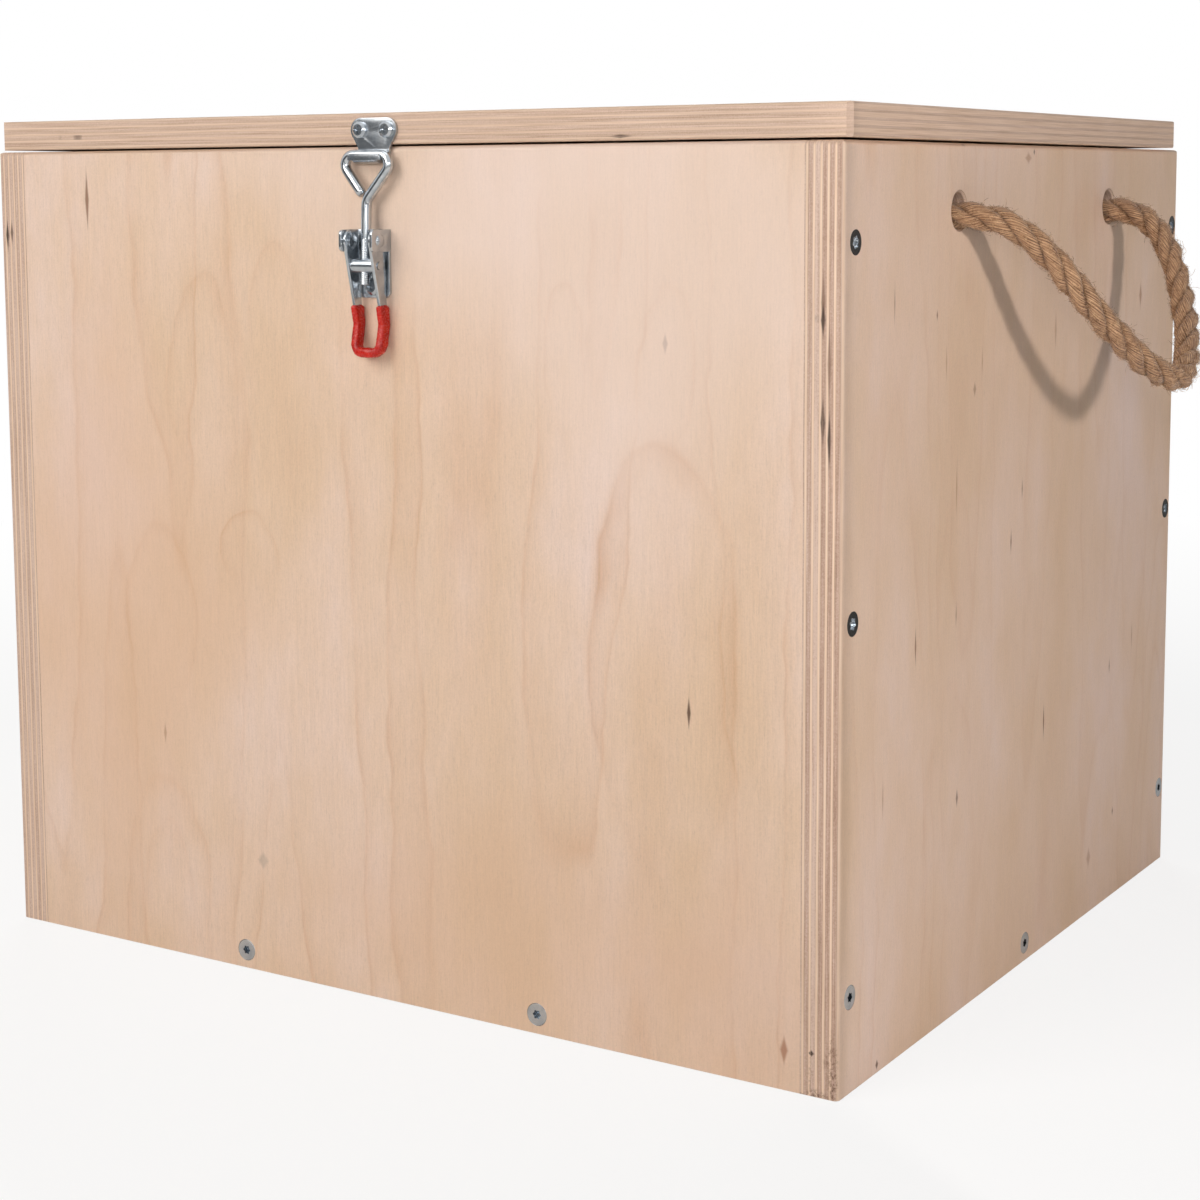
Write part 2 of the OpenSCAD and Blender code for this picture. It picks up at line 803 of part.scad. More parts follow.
module trunnion_barrel() {
    pin_end = arm_out + 0.35;
    color(zinc)
        difference() {
            translate([latch_x, front_y - trunnion_d, trunnion_z]) rotate([0, 90, 0]) {
                cylinder(r = barrel_r, h = 2 * (arm_in - ear_gap), $fn = 48, center = true);
                cylinder(r = barrel_pin_r, h = 2 * pin_end, $fn = 32, center = true);
            }
            in_loop() cylinder(r = rod_r + running_fit, h = 4 * barrel_r, $fn = 32, center = true);
        }
}

// A straight stretch of the rod between two points of the loop's plane, run on into
// the bends at its two ends
module rod_line(from, to, into_from = rod_into, into_to = rod_into) {
    run = to - from;
    translate([from[0], 0, from[1]]) rotate([0, atan2(run[0], run[1]), 0])
        translate([0, 0, -into_from])
            cylinder(r = rod_r, h = norm(run) + into_from + into_to, $fn = 24);
}

// A bend of the rod round a centre in the loop's plane, from angle start, turning by sweep
module rod_bend(centre, radius, start, sweep) {
    translate([centre[0], 0, centre[1]]) rotate([90, 0, 0]) rotate([0, 0, start])
        rotate_extrude(angle = sweep, $fn = 48)
            translate([radius, 0]) circle(r = rod_r + rod_swell, $fn = 24);
}

module loop_rod() {
    down = [-cos(leg_angle), -sin(leg_angle)];
    leg_end = [neck_tangent * cos(leg_angle), neck_s + neck_tangent * sin(leg_angle)];
    rod_top = [0, neck_s - neck_tangent];
    free_end = leg_top + down * ((leg_top[0] - free_end_x) / cos(leg_angle));
    color(zinc)
        in_loop() {
            rod_line([0, -barrel_r - rod_tail], rod_top, 0);
            rod_bend([neck_r, rod_top[1]], neck_r, 180, leg_angle - 90);
            rod_line(leg_end, leg_top);
            rod_bend([corner_x, corner_s], loop_corner_r, leg_angle - 90, 180 - leg_angle);
            rod_line([-corner_x, bar_s], [corner_x, bar_s]);
            rod_bend([-corner_x, corner_s], loop_corner_r, 90, 180 - leg_angle);
            rod_line([-free_end[0], free_end[1]], [-leg_top[0], leg_top[1]], 0);
        }
}

module at_catch_screws() {
    for (s = [-1, 1])
        translate([catch_x + s * catch_screw_x, lid_front_y, catch_screw_z]) rotate([90, 0, 0])
            children();
}

// The catch plate's outline from the front: two lobes that narrow to the hook
module catch_outline() {
    shoulder_z = catch_screw_z - 0.35 * catch_lobe_r;
    for (s = [-1, 1])
        translate([s * catch_screw_x, catch_screw_z]) circle(r = catch_lobe_r, $fn = 48);
    translate([-catch_screw_x, catch_screw_z - catch_lobe_r])
        square([2 * catch_screw_x, 2 * catch_lobe_r]);
    polygon([
        [-catch_screw_x - 0.93 * catch_lobe_r, shoulder_z],
        [catch_screw_x + 0.93 * catch_lobe_r, shoulder_z],
        [hook_half_w, body_h - 0.5], [hook_half_w, bar_z], [-hook_half_w, bar_z],
        [-hook_half_w, body_h - 0.5]
    ]);
}

// The hook's bend from the side: a half ring under the bar
module hook_bend() {
    bend_out = hook_r + catch_t;
    translate([bar_d, bar_z])
        difference() {
            circle(r = bend_out, $fn = 48);
            circle(r = hook_r, $fn = 48);
            translate([-2 * bend_out, 0]) square(4 * bend_out);
        }
    translate([bar_d - bend_out, bar_z - 0.7]) square([catch_t, 1.4]);
}

// The hook's lip from the side: it stands in front of the bar's lower half
module hook_lip() {
    translate([bar_d + hook_r, bar_z - lip_h]) square([catch_t, lip_h]);
}

module catch_plate() {
    color(zinc)
        difference() {
            union() {
                translate([catch_x, lid_front_y, 0]) rotate([90, 0, 0]) linear_extrude(catch_t)
                    catch_outline();
                translate([hook_shift, 0, 0]) {
                    across(-bend_half_w, bend_half_w) hook_bend();
                    across(-hook_half_w, hook_half_w) hook_lip();
                }
            }
            at_catch_screws() pan_hole(over, catch_t + over);
        }
}

module catch_screws() {
    color(zinc)
        at_catch_screws() translate([0, 0, catch_t]) pan_screw();
}

side_panel_right();
side_panel_left();
front_panel();
back_panel();
bottom_panel();
screws_side_right();
screws_side_left();
screws_front();
screws_back();
rope_handle();
rope_knot_front();
rope_knot_back();
hinge_body_leaf_right();
hinge_body_leaf_left();
hinge_pin_right();
hinge_pin_left();
hinge_body_screws();
latch_base();
latch_base_screws();
lever_rivets();
lid_board();
hinge_lid_leaf_right();
hinge_lid_leaf_left();
hinge_lid_screws();
catch_plate();
catch_screws();
latch_lever();
lever_grip();
trunnion_barrel();
loop_rod();
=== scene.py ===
"""The looks of a plywood chest with a toggle latch and a rope handle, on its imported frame.

The front faces -Y, +X is to the right and +Z is up. Shapes are drawn in millimetres where
they sit, and to_piece() turns each into metres.
"""

import json
import math
import random

import bmesh
import bpy
from mathutils import Matrix, Vector, noise

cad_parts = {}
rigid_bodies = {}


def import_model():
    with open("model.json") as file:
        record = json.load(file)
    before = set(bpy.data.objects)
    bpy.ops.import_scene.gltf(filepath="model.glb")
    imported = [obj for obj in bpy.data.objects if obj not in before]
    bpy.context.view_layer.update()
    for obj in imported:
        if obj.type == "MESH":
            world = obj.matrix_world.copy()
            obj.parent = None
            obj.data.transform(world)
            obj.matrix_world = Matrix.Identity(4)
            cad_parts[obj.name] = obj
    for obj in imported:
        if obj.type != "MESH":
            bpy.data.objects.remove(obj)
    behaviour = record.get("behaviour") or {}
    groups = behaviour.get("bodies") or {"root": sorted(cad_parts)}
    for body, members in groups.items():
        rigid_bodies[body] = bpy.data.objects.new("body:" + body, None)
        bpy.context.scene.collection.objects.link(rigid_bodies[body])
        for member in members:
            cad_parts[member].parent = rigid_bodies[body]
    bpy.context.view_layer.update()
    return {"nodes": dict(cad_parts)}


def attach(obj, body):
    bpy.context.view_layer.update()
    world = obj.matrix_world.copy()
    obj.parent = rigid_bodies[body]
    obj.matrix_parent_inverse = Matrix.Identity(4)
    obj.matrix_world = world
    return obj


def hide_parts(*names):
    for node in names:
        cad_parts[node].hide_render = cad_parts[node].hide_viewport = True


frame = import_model()

# Sizes that the looks share with the chest's own model, in millimetres
BODY_W, BODY_D, BODY_H = 400.0, 350.0, 336.0
WALL = 15.0
LID_BOTTOM, LID_T = 336.8, 12.0
LID_MIDDLE = 2.6
LID_FRONT, LID_BACK = -175.4, 162.0
LATCH_X, CATCH_X = 1.1, 2.6
PIVOT = Vector((LATCH_X, -182.0, 300.5))
TRUNNION = Vector((LATCH_X, -180.7, 291.0))
HINGE_Y, HINGE_Z = 164.7, 338.7


# Colour and nodes


def srgb(code):
    """A colour as the shader wants it, from its sRGB hex code."""
    parts = [int(code[i : i + 2], 16) / 255 for i in (1, 3, 5)]
    return [
        *(c / 12.92 if c <= 0.04045 else ((c + 0.055) / 1.055) ** 2.4 for c in parts),
        1.0,
    ]


def add(tree, kind, inputs=None, **settings):
    """Adds a node, sets its settings, and links or sets its inputs by name or number."""
    made = tree.nodes.new(kind)
    for name, value in settings.items():
        setattr(made, name, value)
    for key, value in (inputs or {}).items():
        if isinstance(value, bpy.types.NodeSocket):
            tree.links.new(value, made.inputs[key])
        else:
            made.inputs[key].default_value = value
    return made


def set_stops(ramp, stops):
    """Gives a colour ramp its stops, as pairs of place and colour or grey level."""
    elements = ramp.color_ramp.elements
    while len(elements) > 1:
        elements.remove(elements[-1])
    for i, (place, colour) in enumerate(stops):
        element = elements[0] if i == 0 else elements.new(place)
        element.position = place
        element.color = srgb(colour) if isinstance(colour, str) else (colour,) * 3 + (1,)
    return ramp


def new_material(name):
    material = bpy.data.materials.new(name)
    material.use_nodes = True
    material.node_tree.nodes.clear()
    return material, material.node_tree


def finish_material(tree, shader):
    add(tree, "ShaderNodeOutputMaterial", {"Surface": shader.outputs[0]})


# Wood


def growth_ring_group():
    """Where one growth ring's dark late wood shows: an oval line, sharp outside, soft inside."""
    group = bpy.data.node_groups.new("growth_ring", "ShaderNodeTree")
    for name in ("Across", "Along", "Middle across", "Middle along", "Half width", "Half length"):
        group.interface.new_socket(name, in_out="INPUT", socket_type="NodeSocketFloat")
    group.interface.new_socket("Line", in_out="OUTPUT", socket_type="NodeSocketFloat")
    given = group.nodes.new("NodeGroupInput").outputs
    shares = []
    for way, middle, half in (
        ("Across", "Middle across", "Half width"),
        ("Along", "Middle along", "Half length"),
    ):
        off = add(
            group, "ShaderNodeMath", {0: given[way], 1: given[middle]}, operation="SUBTRACT"
        )
        share = add(
            group, "ShaderNodeMath", {0: off.outputs[0], 1: given[half]}, operation="DIVIDE"
        )
        shares.append(share.outputs[0])
    flat = add(group, "ShaderNodeCombineXYZ", {0: shares[0], 1: shares[1]})
    reach = add(group, "ShaderNodeVectorMath", {0: flat.outputs[0]}, operation="LENGTH")
    place = add(
        group,
        "ShaderNodeMapRange",
        {"Value": reach.outputs["Value"], "From Min": 0.62, "From Max": 1.14},
    )
    line = set_stops(
        add(group, "ShaderNodeValToRGB", {0: place.outputs[0]}),
        [(0.0, 0.0), (0.42, 0.1), (0.66, 0.5), (0.75, 0.8), (0.84, 0.2), (1.0, 0.0)],
    )
    # The foot of each oval runs out into the straight grain
    foot = add(
        group,
        "ShaderNodeMapRange",
        {"Value": shares[1], "From Min": -1.0, "From Max": 0.1, "To Min": 0.12, "To Max": 1.0},
        interpolation_type="SMOOTHSTEP",
    )
    line = add(
        group, "ShaderNodeMath", {0: line.outputs[0], 1: foot.outputs[0]}, operation="MULTIPLY"
    )
    out = group.nodes.new("NodeGroupOutput")
    group.links.new(line.outputs[0], out.inputs[0])
    return group


def wood_mark_group():
    """Where a spindle-shaped mark shows, such as a bark pocket or a pin knot."""
    group = bpy.data.node_groups.new("wood_mark", "ShaderNodeTree")
    for name in ("Across", "Along", "Middle across", "Middle along", "Half width", "Half length"):
        group.interface.new_socket(name, in_out="INPUT", socket_type="NodeSocketFloat")
    group.interface.new_socket("Mark", in_out="OUTPUT", socket_type="NodeSocketFloat")
    given = group.nodes.new("NodeGroupInput").outputs
    shares = []
    for way, middle, half in (
        ("Across", "Middle across", "Half width"),
        ("Along", "Middle along", "Half length"),
    ):
        off = add(
            group, "ShaderNodeMath", {0: given[way], 1: given[middle]}, operation="SUBTRACT"
        )
        size = add(group, "ShaderNodeMath", {0: off.outputs[0]}, operation="ABSOLUTE")
        share = add(
            group, "ShaderNodeMath", {0: size.outputs[0], 1: given[half]}, operation="DIVIDE"
        )
        shares.append(share.outputs[0])
    reach = add(group, "ShaderNodeMath", {0: shares[0], 1: shares[1]}, operation="ADD")
    mark = add(
        group,
        "ShaderNodeMapRange",
        {"Value": reach.outputs[0], "From Min": 0.35, "From Max": 1.0, "To Min": 1.0, "To Max": 0.0},
        interpolation_type="SMOOTHSTEP",
    )
    out = group.nodes.new("NodeGroupOutput")
    group.links.new(mark.outputs[0], out.inputs[0])
    return group


GROWTH_RING = growth_ring_group()
WOOD_MARK = wood_mark_group()


def birch_plywood(
    name, across, along, outside, plies, thick, rings=(), marks=(), slots=(), smudges=(),
    bands=1.0, figured=1.0, seed=0.0,
):
    """Bare sanded birch plywood: rotary-cut face veneer, and banded plies on every cut edge.

    across and along are the numbers of the axes over and with the face's grain. outside is the
    outer face's place on the third axis, negative where the board lies towards +. rings are
    (across, along, half width, half length, strength) and marks add a colour, in millimetres.
    slots and smudges lie on the cut edges beside the grain, and give the place through the board
    and along it. bands is how strongly the plies' tones differ, and figured how strongly the
    growth rings show.
    """
    through = 3 - across - along
    ply = thick / plies
    inward = -math.copysign(1.0, outside)
    material, tree = new_material(name)

    # The place in millimetres, and the surface's facing, both in the chest's own frame
    coords = add(tree, "ShaderNodeTexCoord")
    place = add(
        tree, "ShaderNodeVectorMath", {0: coords.outputs["Object"], "Scale": 1000.0},
        operation="SCALE",
    )
    facing = add(tree, "ShaderNodeVectorMath", {0: coords.outputs["Normal"]}, operation="ABSOLUTE")
    facing = add(tree, "ShaderNodeSeparateXYZ", {0: facing.outputs[0]}).outputs
    spot = add(tree, "ShaderNodeSeparateXYZ", {0: place.outputs[0]}).outputs
    face = add(
        tree,
        "ShaderNodeMapRange",
        {"Value": facing[through], "From Min": 0.8, "From Max": 0.97},
        interpolation_type="SMOOTHSTEP",
    ).outputs[0]

    # Plies: a pair is one thin ply with the face's grain and one thicker ply across it
    pair = add(
        tree,
        "ShaderNodeMath",
        {0: spot[through], 1: inward / (2 * ply), 2: -outside * inward / (2 * ply) + 0.0004},
        operation="MULTIPLY_ADD",
    ).outputs[0]
    waver = add(
        tree, "ShaderNodeTexNoise", {"Vector": place.outputs[0], "Scale": 0.02, "Detail": 1.0}
    ).outputs[0]
    pair = add(
        tree, "ShaderNodeMath", {0: waver, 1: 0.08, 2: pair}, operation="MULTIPLY_ADD"
    ).outputs[0]
    pair = add(tree, "ShaderNodeMath", {0: pair, 1: 0.04}, operation="SUBTRACT").outputs[0]
    number = add(tree, "ShaderNodeMath", {0: pair}, operation="FLOOR").outputs[0]
    within = add(tree, "ShaderNodeMath", {0: pair}, operation="FRACT").outputs[0]
    crossed = set_stops(
        add(tree, "ShaderNodeValToRGB", {0: within}),
        [(0.0, 0.0), (0.28, 0.0), (0.35, 1.0), (0.95, 1.0), (1.0, 0.0)],
    ).outputs[0]
    glue = set_stops(
        add(tree, "ShaderNodeValToRGB", {0: within}),
        [(0.0, 1.0), (0.05, 0.0), (0.27, 0.0), (0.32, 0.8), (0.37, 0.0), (0.95, 0.0), (1.0, 1.0)],
    ).outputs[0]
    end_grain = add(
        tree, "ShaderNodeMix", {0: crossed, 2: facing[along], 3: facing[across]}
    ).outputs[0]
    chance = add(
        tree, "ShaderNodeMath", {0: number, 1: 3.7, 2: seed}, operation="MULTIPLY_ADD"
    ).outputs[0]
    chance = add(
        tree, "ShaderNodeTexWhiteNoise", {"W": chance}, noise_dimensions="1D"
    ).outputs["Value"]

    # Streaks along a cut edge: 0.3 mm over the ply and some 30 mm along it
    stretch = [0.03, 0.03, 0.03]
    stretch[through] = 2.8
    edge_streaks = add(
        tree,
        "ShaderNodeTexNoise",
        {
            "Vector": add(
                tree, "ShaderNodeVectorMath", {0: place.outputs[0], 1: stretch},
                operation="MULTIPLY",
            ).outputs[0],
            "Scale": 1.0,
            "Detail": 4.0,
            "Roughness": 0.65,
        },
    ).outputs[0]
    # End grain: pores cut across, some 0.4 mm apart
    pores = add(
        tree,
        "ShaderNodeTexNoise",
        {"Vector": place.outputs[0], "Scale": 1.9, "Detail": 3.0, "Roughness": 0.7},
    ).outputs[0]
    long_colour = set_stops(
        add(tree, "ShaderNodeValToRGB", {0: edge_streaks}),
        [(0.25, "#CDAE94"), (0.45, "#E0C5AC"), (0.6, "#EAD1BB"), (0.8, "#DDC0A5")],
    ).outputs[0]
    end_tone = add(
        tree, "ShaderNodeMath", {0: pores, 1: 0.55, 2: edge_streaks}, operation="MULTIPLY_ADD"
    ).outputs[0]
    end_tone = add(
        tree, "ShaderNodeMath", {0: chance, 1: 0.22, 2: end_tone}, operation="MULTIPLY_ADD"
    ).outputs[0]
    end_colour = set_stops(
        add(tree, "ShaderNodeValToRGB", {0: end_tone}),
        [(0.55, "#997967"), (0.75, "#B89A88"), (0.95, "#CAAE9F"), (1.15, "#D6BDAE")],
    ).outputs[0]
    edge_colour = add(
        tree,
        "ShaderNodeMix",
        {
            0: add(
                tree,
                "ShaderNodeMapRange",
                {"Value": end_grain, "To Min": 0.5 - 0.5 * bands, "To Max": 0.5 + 0.5 * bands},
            ).outputs[0],
            6: long_colour,
            7: end_colour,
        },
        data_type="RGBA",
    ).outputs[2]
    edge_colour = add(
        tree,
        "ShaderNodeMix",
        {
            0: add(
                tree, "ShaderNodeMath", {0: glue, 1: 0.3 * bands}, operation="MULTIPLY"
            ).outputs[0],
            6: edge_colour,
            7: srgb("#8A6850"),
        },
        data_type="RGBA",
    ).outputs[2]

    # Voids: gaps in the cross plies, some 1 mm high and 10 to 40 mm long, with painted shade for their dark
    # inside
    stretch = [0.035, 0.035, 0.035]
    stretch[through] = 0.0
    void_place = add(
        tree, "ShaderNodeVectorMath", {0: place.outputs[0], 1: stretch}, operation="MULTIPLY"
    )
    void_place = add(
        tree,
        "ShaderNodeVectorMath",
        {
            0: void_place.outputs[0],
            1: add(tree, "ShaderNodeMath", {0: number, 1: 7.31}, operation="MULTIPLY").outputs[0],
        },
        operation="ADD",
    )
    void = add(
        tree,
        "ShaderNodeTexNoise",
        {"Vector": void_place.outputs[0], "Scale": 1.0, "Detail": 2.0, "W": seed},
        noise_dimensions="4D",
    ).outputs[0]
    void = add(
        tree,
        "ShaderNodeMapRange",
        {"Value": void, "From Min": 0.7, "From Max": 0.74},
    ).outputs[0]
    void = add(tree, "ShaderNodeMath", {0: void, 1: end_grain}, operation="MULTIPLY").outputs[0]
    edge_colour = add(
        tree,
        "ShaderNodeMix",
        {0: void, 6: edge_colour, 7: srgb("#3B2A20")},
        data_type="RGBA",
    ).outputs[2]

    # Specks of dirt, some 1 mm across
    specks = add(
        tree,
        "ShaderNodeTexNoise",
        {"Vector": place.outputs[0], "Scale": 1.1, "Detail": 5.0, "Roughness": 0.75},
    ).outputs[0]
    specks = add(
        tree, "ShaderNodeMapRange", {"Value": specks, "From Min": 0.44, "From Max": 0.64}
    ).outputs[0]
    # Slots are gaps whose dark inside is painted shade; they keep a ragged edge, drawn by the streaks along
    # the plies
    ragged = add(
        tree, "ShaderNodeMapRange", {"Value": edge_streaks, "From Min": 0.3, "From Max": 0.5}
    ).outputs[0]
    for places, broken in ((slots, ragged), (smudges, specks)):
        for mark_through, mark_along, half_w, half_l, strength, tone in places:
            mark = add(
                tree,
                "ShaderNodeGroup",
                {
                    "Across": spot[through],
                    "Along": spot[along],
                    "Middle across": mark_through,
                    "Middle along": mark_along,
                    "Half width": half_w,
                    "Half length": half_l,
                },
                node_tree=WOOD_MARK,
            )
            mark = add(
                tree, "ShaderNodeMath", {0: mark.outputs[0], 1: broken}, operation="MULTIPLY"
            )
            mark = add(
                tree, "ShaderNodeMath", {0: mark.outputs[0], 1: facing[across]},
                operation="MULTIPLY",
            )
            edge_colour = add(
                tree,
                "ShaderNodeMix",
                {
                    0: add(
                        tree, "ShaderNodeMath", {0: mark.outputs[0], 1: strength},
                        operation="MULTIPLY",
                    ).outputs[0],
                    6: edge_colour,
                    7: srgb(tone),
                },
                data_type="RGBA",
            ).outputs[2]

    # The face veneer's figure wanders, so its rings are read at a shifted place
    wander = add(
        tree,
        "ShaderNodeTexNoise",
        {"Vector": place.outputs[0], "Scale": 0.018, "Detail": 3.0, "Roughness": 0.55},
    )
    wander = add(
        tree, "ShaderNodeVectorMath", {0: wander.outputs["Color"], 1: (0.5, 0.5, 0.5)},
        operation="SUBTRACT",
    )
    sway = [16.0, 16.0, 16.0]
    sway[along] = 46.0
    wander = add(
        tree,
        "ShaderNodeVectorMath",
        {0: wander.outputs[0], 1: sway, 2: place.outputs[0]},
        operation="MULTIPLY_ADD",
    )
    figure = add(tree, "ShaderNodeSeparateXYZ", {0: wander.outputs[0]}).outputs
    stretch = [0.0, 0.0, 0.0]
    stretch[across], stretch[along] = 0.011, 0.0011
    height = add(
        tree,
        "ShaderNodeTexNoise",
        {
            "Vector": add(
                tree, "ShaderNodeVectorMath", {0: wander.outputs[0], 1: stretch},
                operation="MULTIPLY",
            ).outputs[0],
            "Scale": 1.0,
            "Detail": 1.5,
            "W": seed + 2.0,
        },
        noise_dimensions="4D",
    ).outputs[0]
    contour = add(tree, "ShaderNodeMath", {0: height, 1: 15.0}, operation="MULTIPLY").outputs[0]
    contour = add(tree, "ShaderNodeMath", {0: contour}, operation="FRACT").outputs[0]
    lines = set_stops(
        add(tree, "ShaderNodeValToRGB", {0: contour}),
        [(0.0, 0.15), (0.05, 0.0), (0.55, 0.0), (0.86, 0.35), (0.95, 1.0), (1.0, 0.15)],
    ).outputs[0]
    faded = add(
        tree,
        "ShaderNodeTexNoise",
        {"Vector": place.outputs[0], "Scale": 0.02, "Detail": 2.0, "W": seed + 5.0},
        noise_dimensions="4D",
    ).outputs[0]
    faded = add(
        tree,
        "ShaderNodeMapRange",
        {"Value": faded, "From Min": 0.35, "From Max": 0.65, "To Min": 0.15, "To Max": 0.8},
    ).outputs[0]
    late_wood = lines
    for ring_across, ring_along, half_w, half_l, strength in rings:
        ring = add(
            tree,
            "ShaderNodeGroup",
            {
                "Across": figure[across],
                "Along": figure[along],
                "Middle across": ring_across,
                "Middle along": ring_along,
                "Half width": half_w,
                "Half length": half_l,
            },
            node_tree=GROWTH_RING,
        )
        late_wood = add(
            tree,
            "ShaderNodeMath",
            {0: ring.outputs[0], 1: 2.2 * strength, 2: late_wood},
            operation="MULTIPLY_ADD",
        ).outputs[0]
    late_wood = add(
        tree, "ShaderNodeMath", {0: late_wood, 1: faded}, operation="MULTIPLY"
    ).outputs[0]

    # Broad patches, pinkish where the wood is palest, some 60 mm over and 150 mm along the grain
    stretch = [0.016, 0.016, 0.016]
    stretch[along] = 0.0065
    patches = add(
        tree,
        "ShaderNodeTexNoise",
        {
            "Vector": add(
                tree, "ShaderNodeVectorMath", {0: place.outputs[0], 1: stretch},
                operation="MULTIPLY",
            ).outputs[0],
            "Scale": 1.0,
            "Detail": 5.0,
            "Roughness": 0.6,
            "W": seed + 9.0,
        },
        noise_dimensions="4D",
    ).outputs[0]
    face_colour = set_stops(
        add(tree, "ShaderNodeValToRGB", {0: patches}),
        [(0.3, "#E6CFC3"), (0.46, "#E2C7B2"), (0.6, "#DDC0A5"), (0.75, "#D8B99C")],
    ).outputs[0]
    face_colour = add(
        tree,
        "ShaderNodeMix",
        {
            0: add(
                tree, "ShaderNodeMath", {0: late_wood, 1: 0.5 * figured}, operation="MULTIPLY"
            ).outputs[0],
            6: face_colour,
            7: srgb("#C99A72"),
        },
        data_type="RGBA",
        clamp_factor=True,
    ).outputs[2]
    # Fibres: streaks 0.5 mm over and 12 mm along the grain
    stretch = [1.7, 1.7, 1.7]
    stretch[along] = 0.08
    fibres = add(
        tree,
        "ShaderNodeTexNoise",
        {
            "Vector": add(
                tree, "ShaderNodeVectorMath", {0: place.outputs[0], 1: stretch},
                operation="MULTIPLY",
            ).outputs[0],
            "Scale": 1.0,
            "Detail": 4.0,
            "Roughness": 0.6,
        },
    ).outputs[0]
    # Flecks: short dark vessel lines, 0.35 mm over and 3 mm along the grain
    stretch = [2.9, 2.9, 2.9]
    stretch[along] = 0.33
    flecks = add(
        tree,
        "ShaderNodeTexNoise",
        {
            "Vector": add(
                tree, "ShaderNodeVectorMath", {0: place.outputs[0], 1: stretch},
                operation="MULTIPLY",
            ).outputs[0],
            "Scale": 1.0,
            "Detail": 1.0,
        },
    ).outputs[0]
    fleck_shade = add(
        tree,
        "ShaderNodeMapRange",
        {"Value": flecks, "From Min": 0.56, "From Max": 0.8, "To Min": 0.0, "To Max": 0.1},
    ).outputs[0]
    shade = add(
        tree,
        "ShaderNodeMapRange",
        {"Value": fibres, "From Min": 0.25, "From Max": 0.75, "To Min": 0.94, "To Max": 1.05},
    ).outputs[0]
    shade = add(tree, "ShaderNodeMath", {0: shade, 1: fleck_shade}, operation="SUBTRACT").outputs[0]
    # Sanding leaves the face finely mottled, some 0.8 mm across
    mottle = add(
        tree,
        "ShaderNodeTexNoise",
        {"Vector": place.outputs[0], "Scale": 1.25, "Detail": 3.0, "Roughness": 0.7},
    ).outputs[0]
    mottle = add(
        tree,
        "ShaderNodeMapRange",
        {"Value": mottle, "From Min": 0.3, "From Max": 0.7, "To Min": -0.045, "To Max": 0.045},
    ).outputs[0]
    shade = add(tree, "ShaderNodeMath", {0: shade, 1: mottle}).outputs[0]
    face_colour = add(
        tree,
        "ShaderNodeVectorMath",
        {0: face_colour, "Scale": shade},
        operation="SCALE",
    ).outputs[0]

    colour = add(
        tree, "ShaderNodeMix", {0: face, 6: edge_colour, 7: face_colour}, data_type="RGBA"
    ).outputs[2]
    for mark_across, mark_along, half_w, half_l, strength, tone in marks:
        mark = add(
            tree,
            "ShaderNodeGroup",
            {
                "Across": spot[across],
                "Along": spot[along],
                "Middle across": mark_across,
                "Middle along": mark_along,
                "Half width": half_w,
                "Half length": half_l,
            },
            node_tree=WOOD_MARK,
        )
        colour = add(
            tree,
            "ShaderNodeMix",
            {
                0: add(
                    tree, "ShaderNodeMath", {0: mark.outputs[0], 1: strength},
                    operation="MULTIPLY",
                ).outputs[0],
                6: colour,
                7: srgb(tone),
            },
            data_type="RGBA",
        ).outputs[2]

    relief = add(
        tree, "ShaderNodeMath", {0: void, 1: -4.0, 2: fibres}, operation="MULTIPLY_ADD"
    ).outputs[0]
    bump = add(
        tree, "ShaderNodeBump", {"Strength": 0.25, "Distance": 0.0001, "Height": relief}
    )
    roughness = add(
        tree,
        "ShaderNodeMapRange",
        {"Value": fibres, "From Min": 0.3, "From Max": 0.7, "To Min": 0.52, "To Max": 0.66},
    )
    wood = add(
        tree,
        "ShaderNodeBsdfPrincipled",
        {
            "Base Color": colour,
            "Roughness": roughness.outputs[0],
            "Normal": bump.outputs[0],
            "IOR": 1.45,
        },
    )
    finish_material(tree, wood)
    return material


# Metal, vinyl and rope


def zinc_plated_steel(name, light="#BFC4C9", dark="#A9B1B9", smooth=0.2, rough=0.27):
    """Pressed steel with a thin bright zinc plate: cloudy, faintly blue, with fine rub marks."""
    material, tree = new_material(name)
    coords = add(tree, "ShaderNodeTexCoord")
    # Clouds some 5 mm across, from the plating bath
    clouds = add(
        tree,
        "ShaderNodeTexNoise",
        {"Vector": coords.outputs["Object"], "Scale": 210.0, "Detail": 4.0, "Roughness": 0.6},
    )
    # Rub marks 0.3 mm wide, drawn as coarse as they need to show
    rubs = add(
        tree,
        "ShaderNodeTexNoise",
        {
            "Vector": add(
                tree,
                "ShaderNodeMapping",
                {"Vector": coords.outputs["Object"], "Rotation": (0.3, 0.5, 0.7),
                 "Scale": (2600.0, 2300.0, 1900.0)},
            ).outputs[0],
            "Scale": 1.0,
            "Detail": 3.0,
        },
    )
    colour = set_stops(
        add(tree, "ShaderNodeValToRGB", {0: clouds.outputs[0]}),
        [(0.3, dark), (0.55, light), (0.8, "#C6C8C8")],
    )
    roughness = add(
        tree,
        "ShaderNodeMapRange",
        {"Value": rubs.outputs[0], "From Min": 0.3, "From Max": 0.7, "To Min": smooth,
         "To Max": rough},
    )
    relief = add(
        tree,
        "ShaderNodeMath",
        {0: clouds.outputs[0], 1: 1.0, 2: rubs.outputs[0]},
        operation="MULTIPLY_ADD",
    )
    bump = add(
        tree,
        "ShaderNodeBump",
        {"Strength": 0.02, "Distance": 0.0001, "Height": relief.outputs[0]},
    )
    steel = add(
        tree,
        "ShaderNodeBsdfPrincipled",
        {
            "Base Color": colour.outputs[0],
            "Metallic": 1.0,
            "Roughness": roughness.outputs[0],
            "Normal": bump.outputs[0],
        },
    )
    finish_material(tree, steel)
    return material


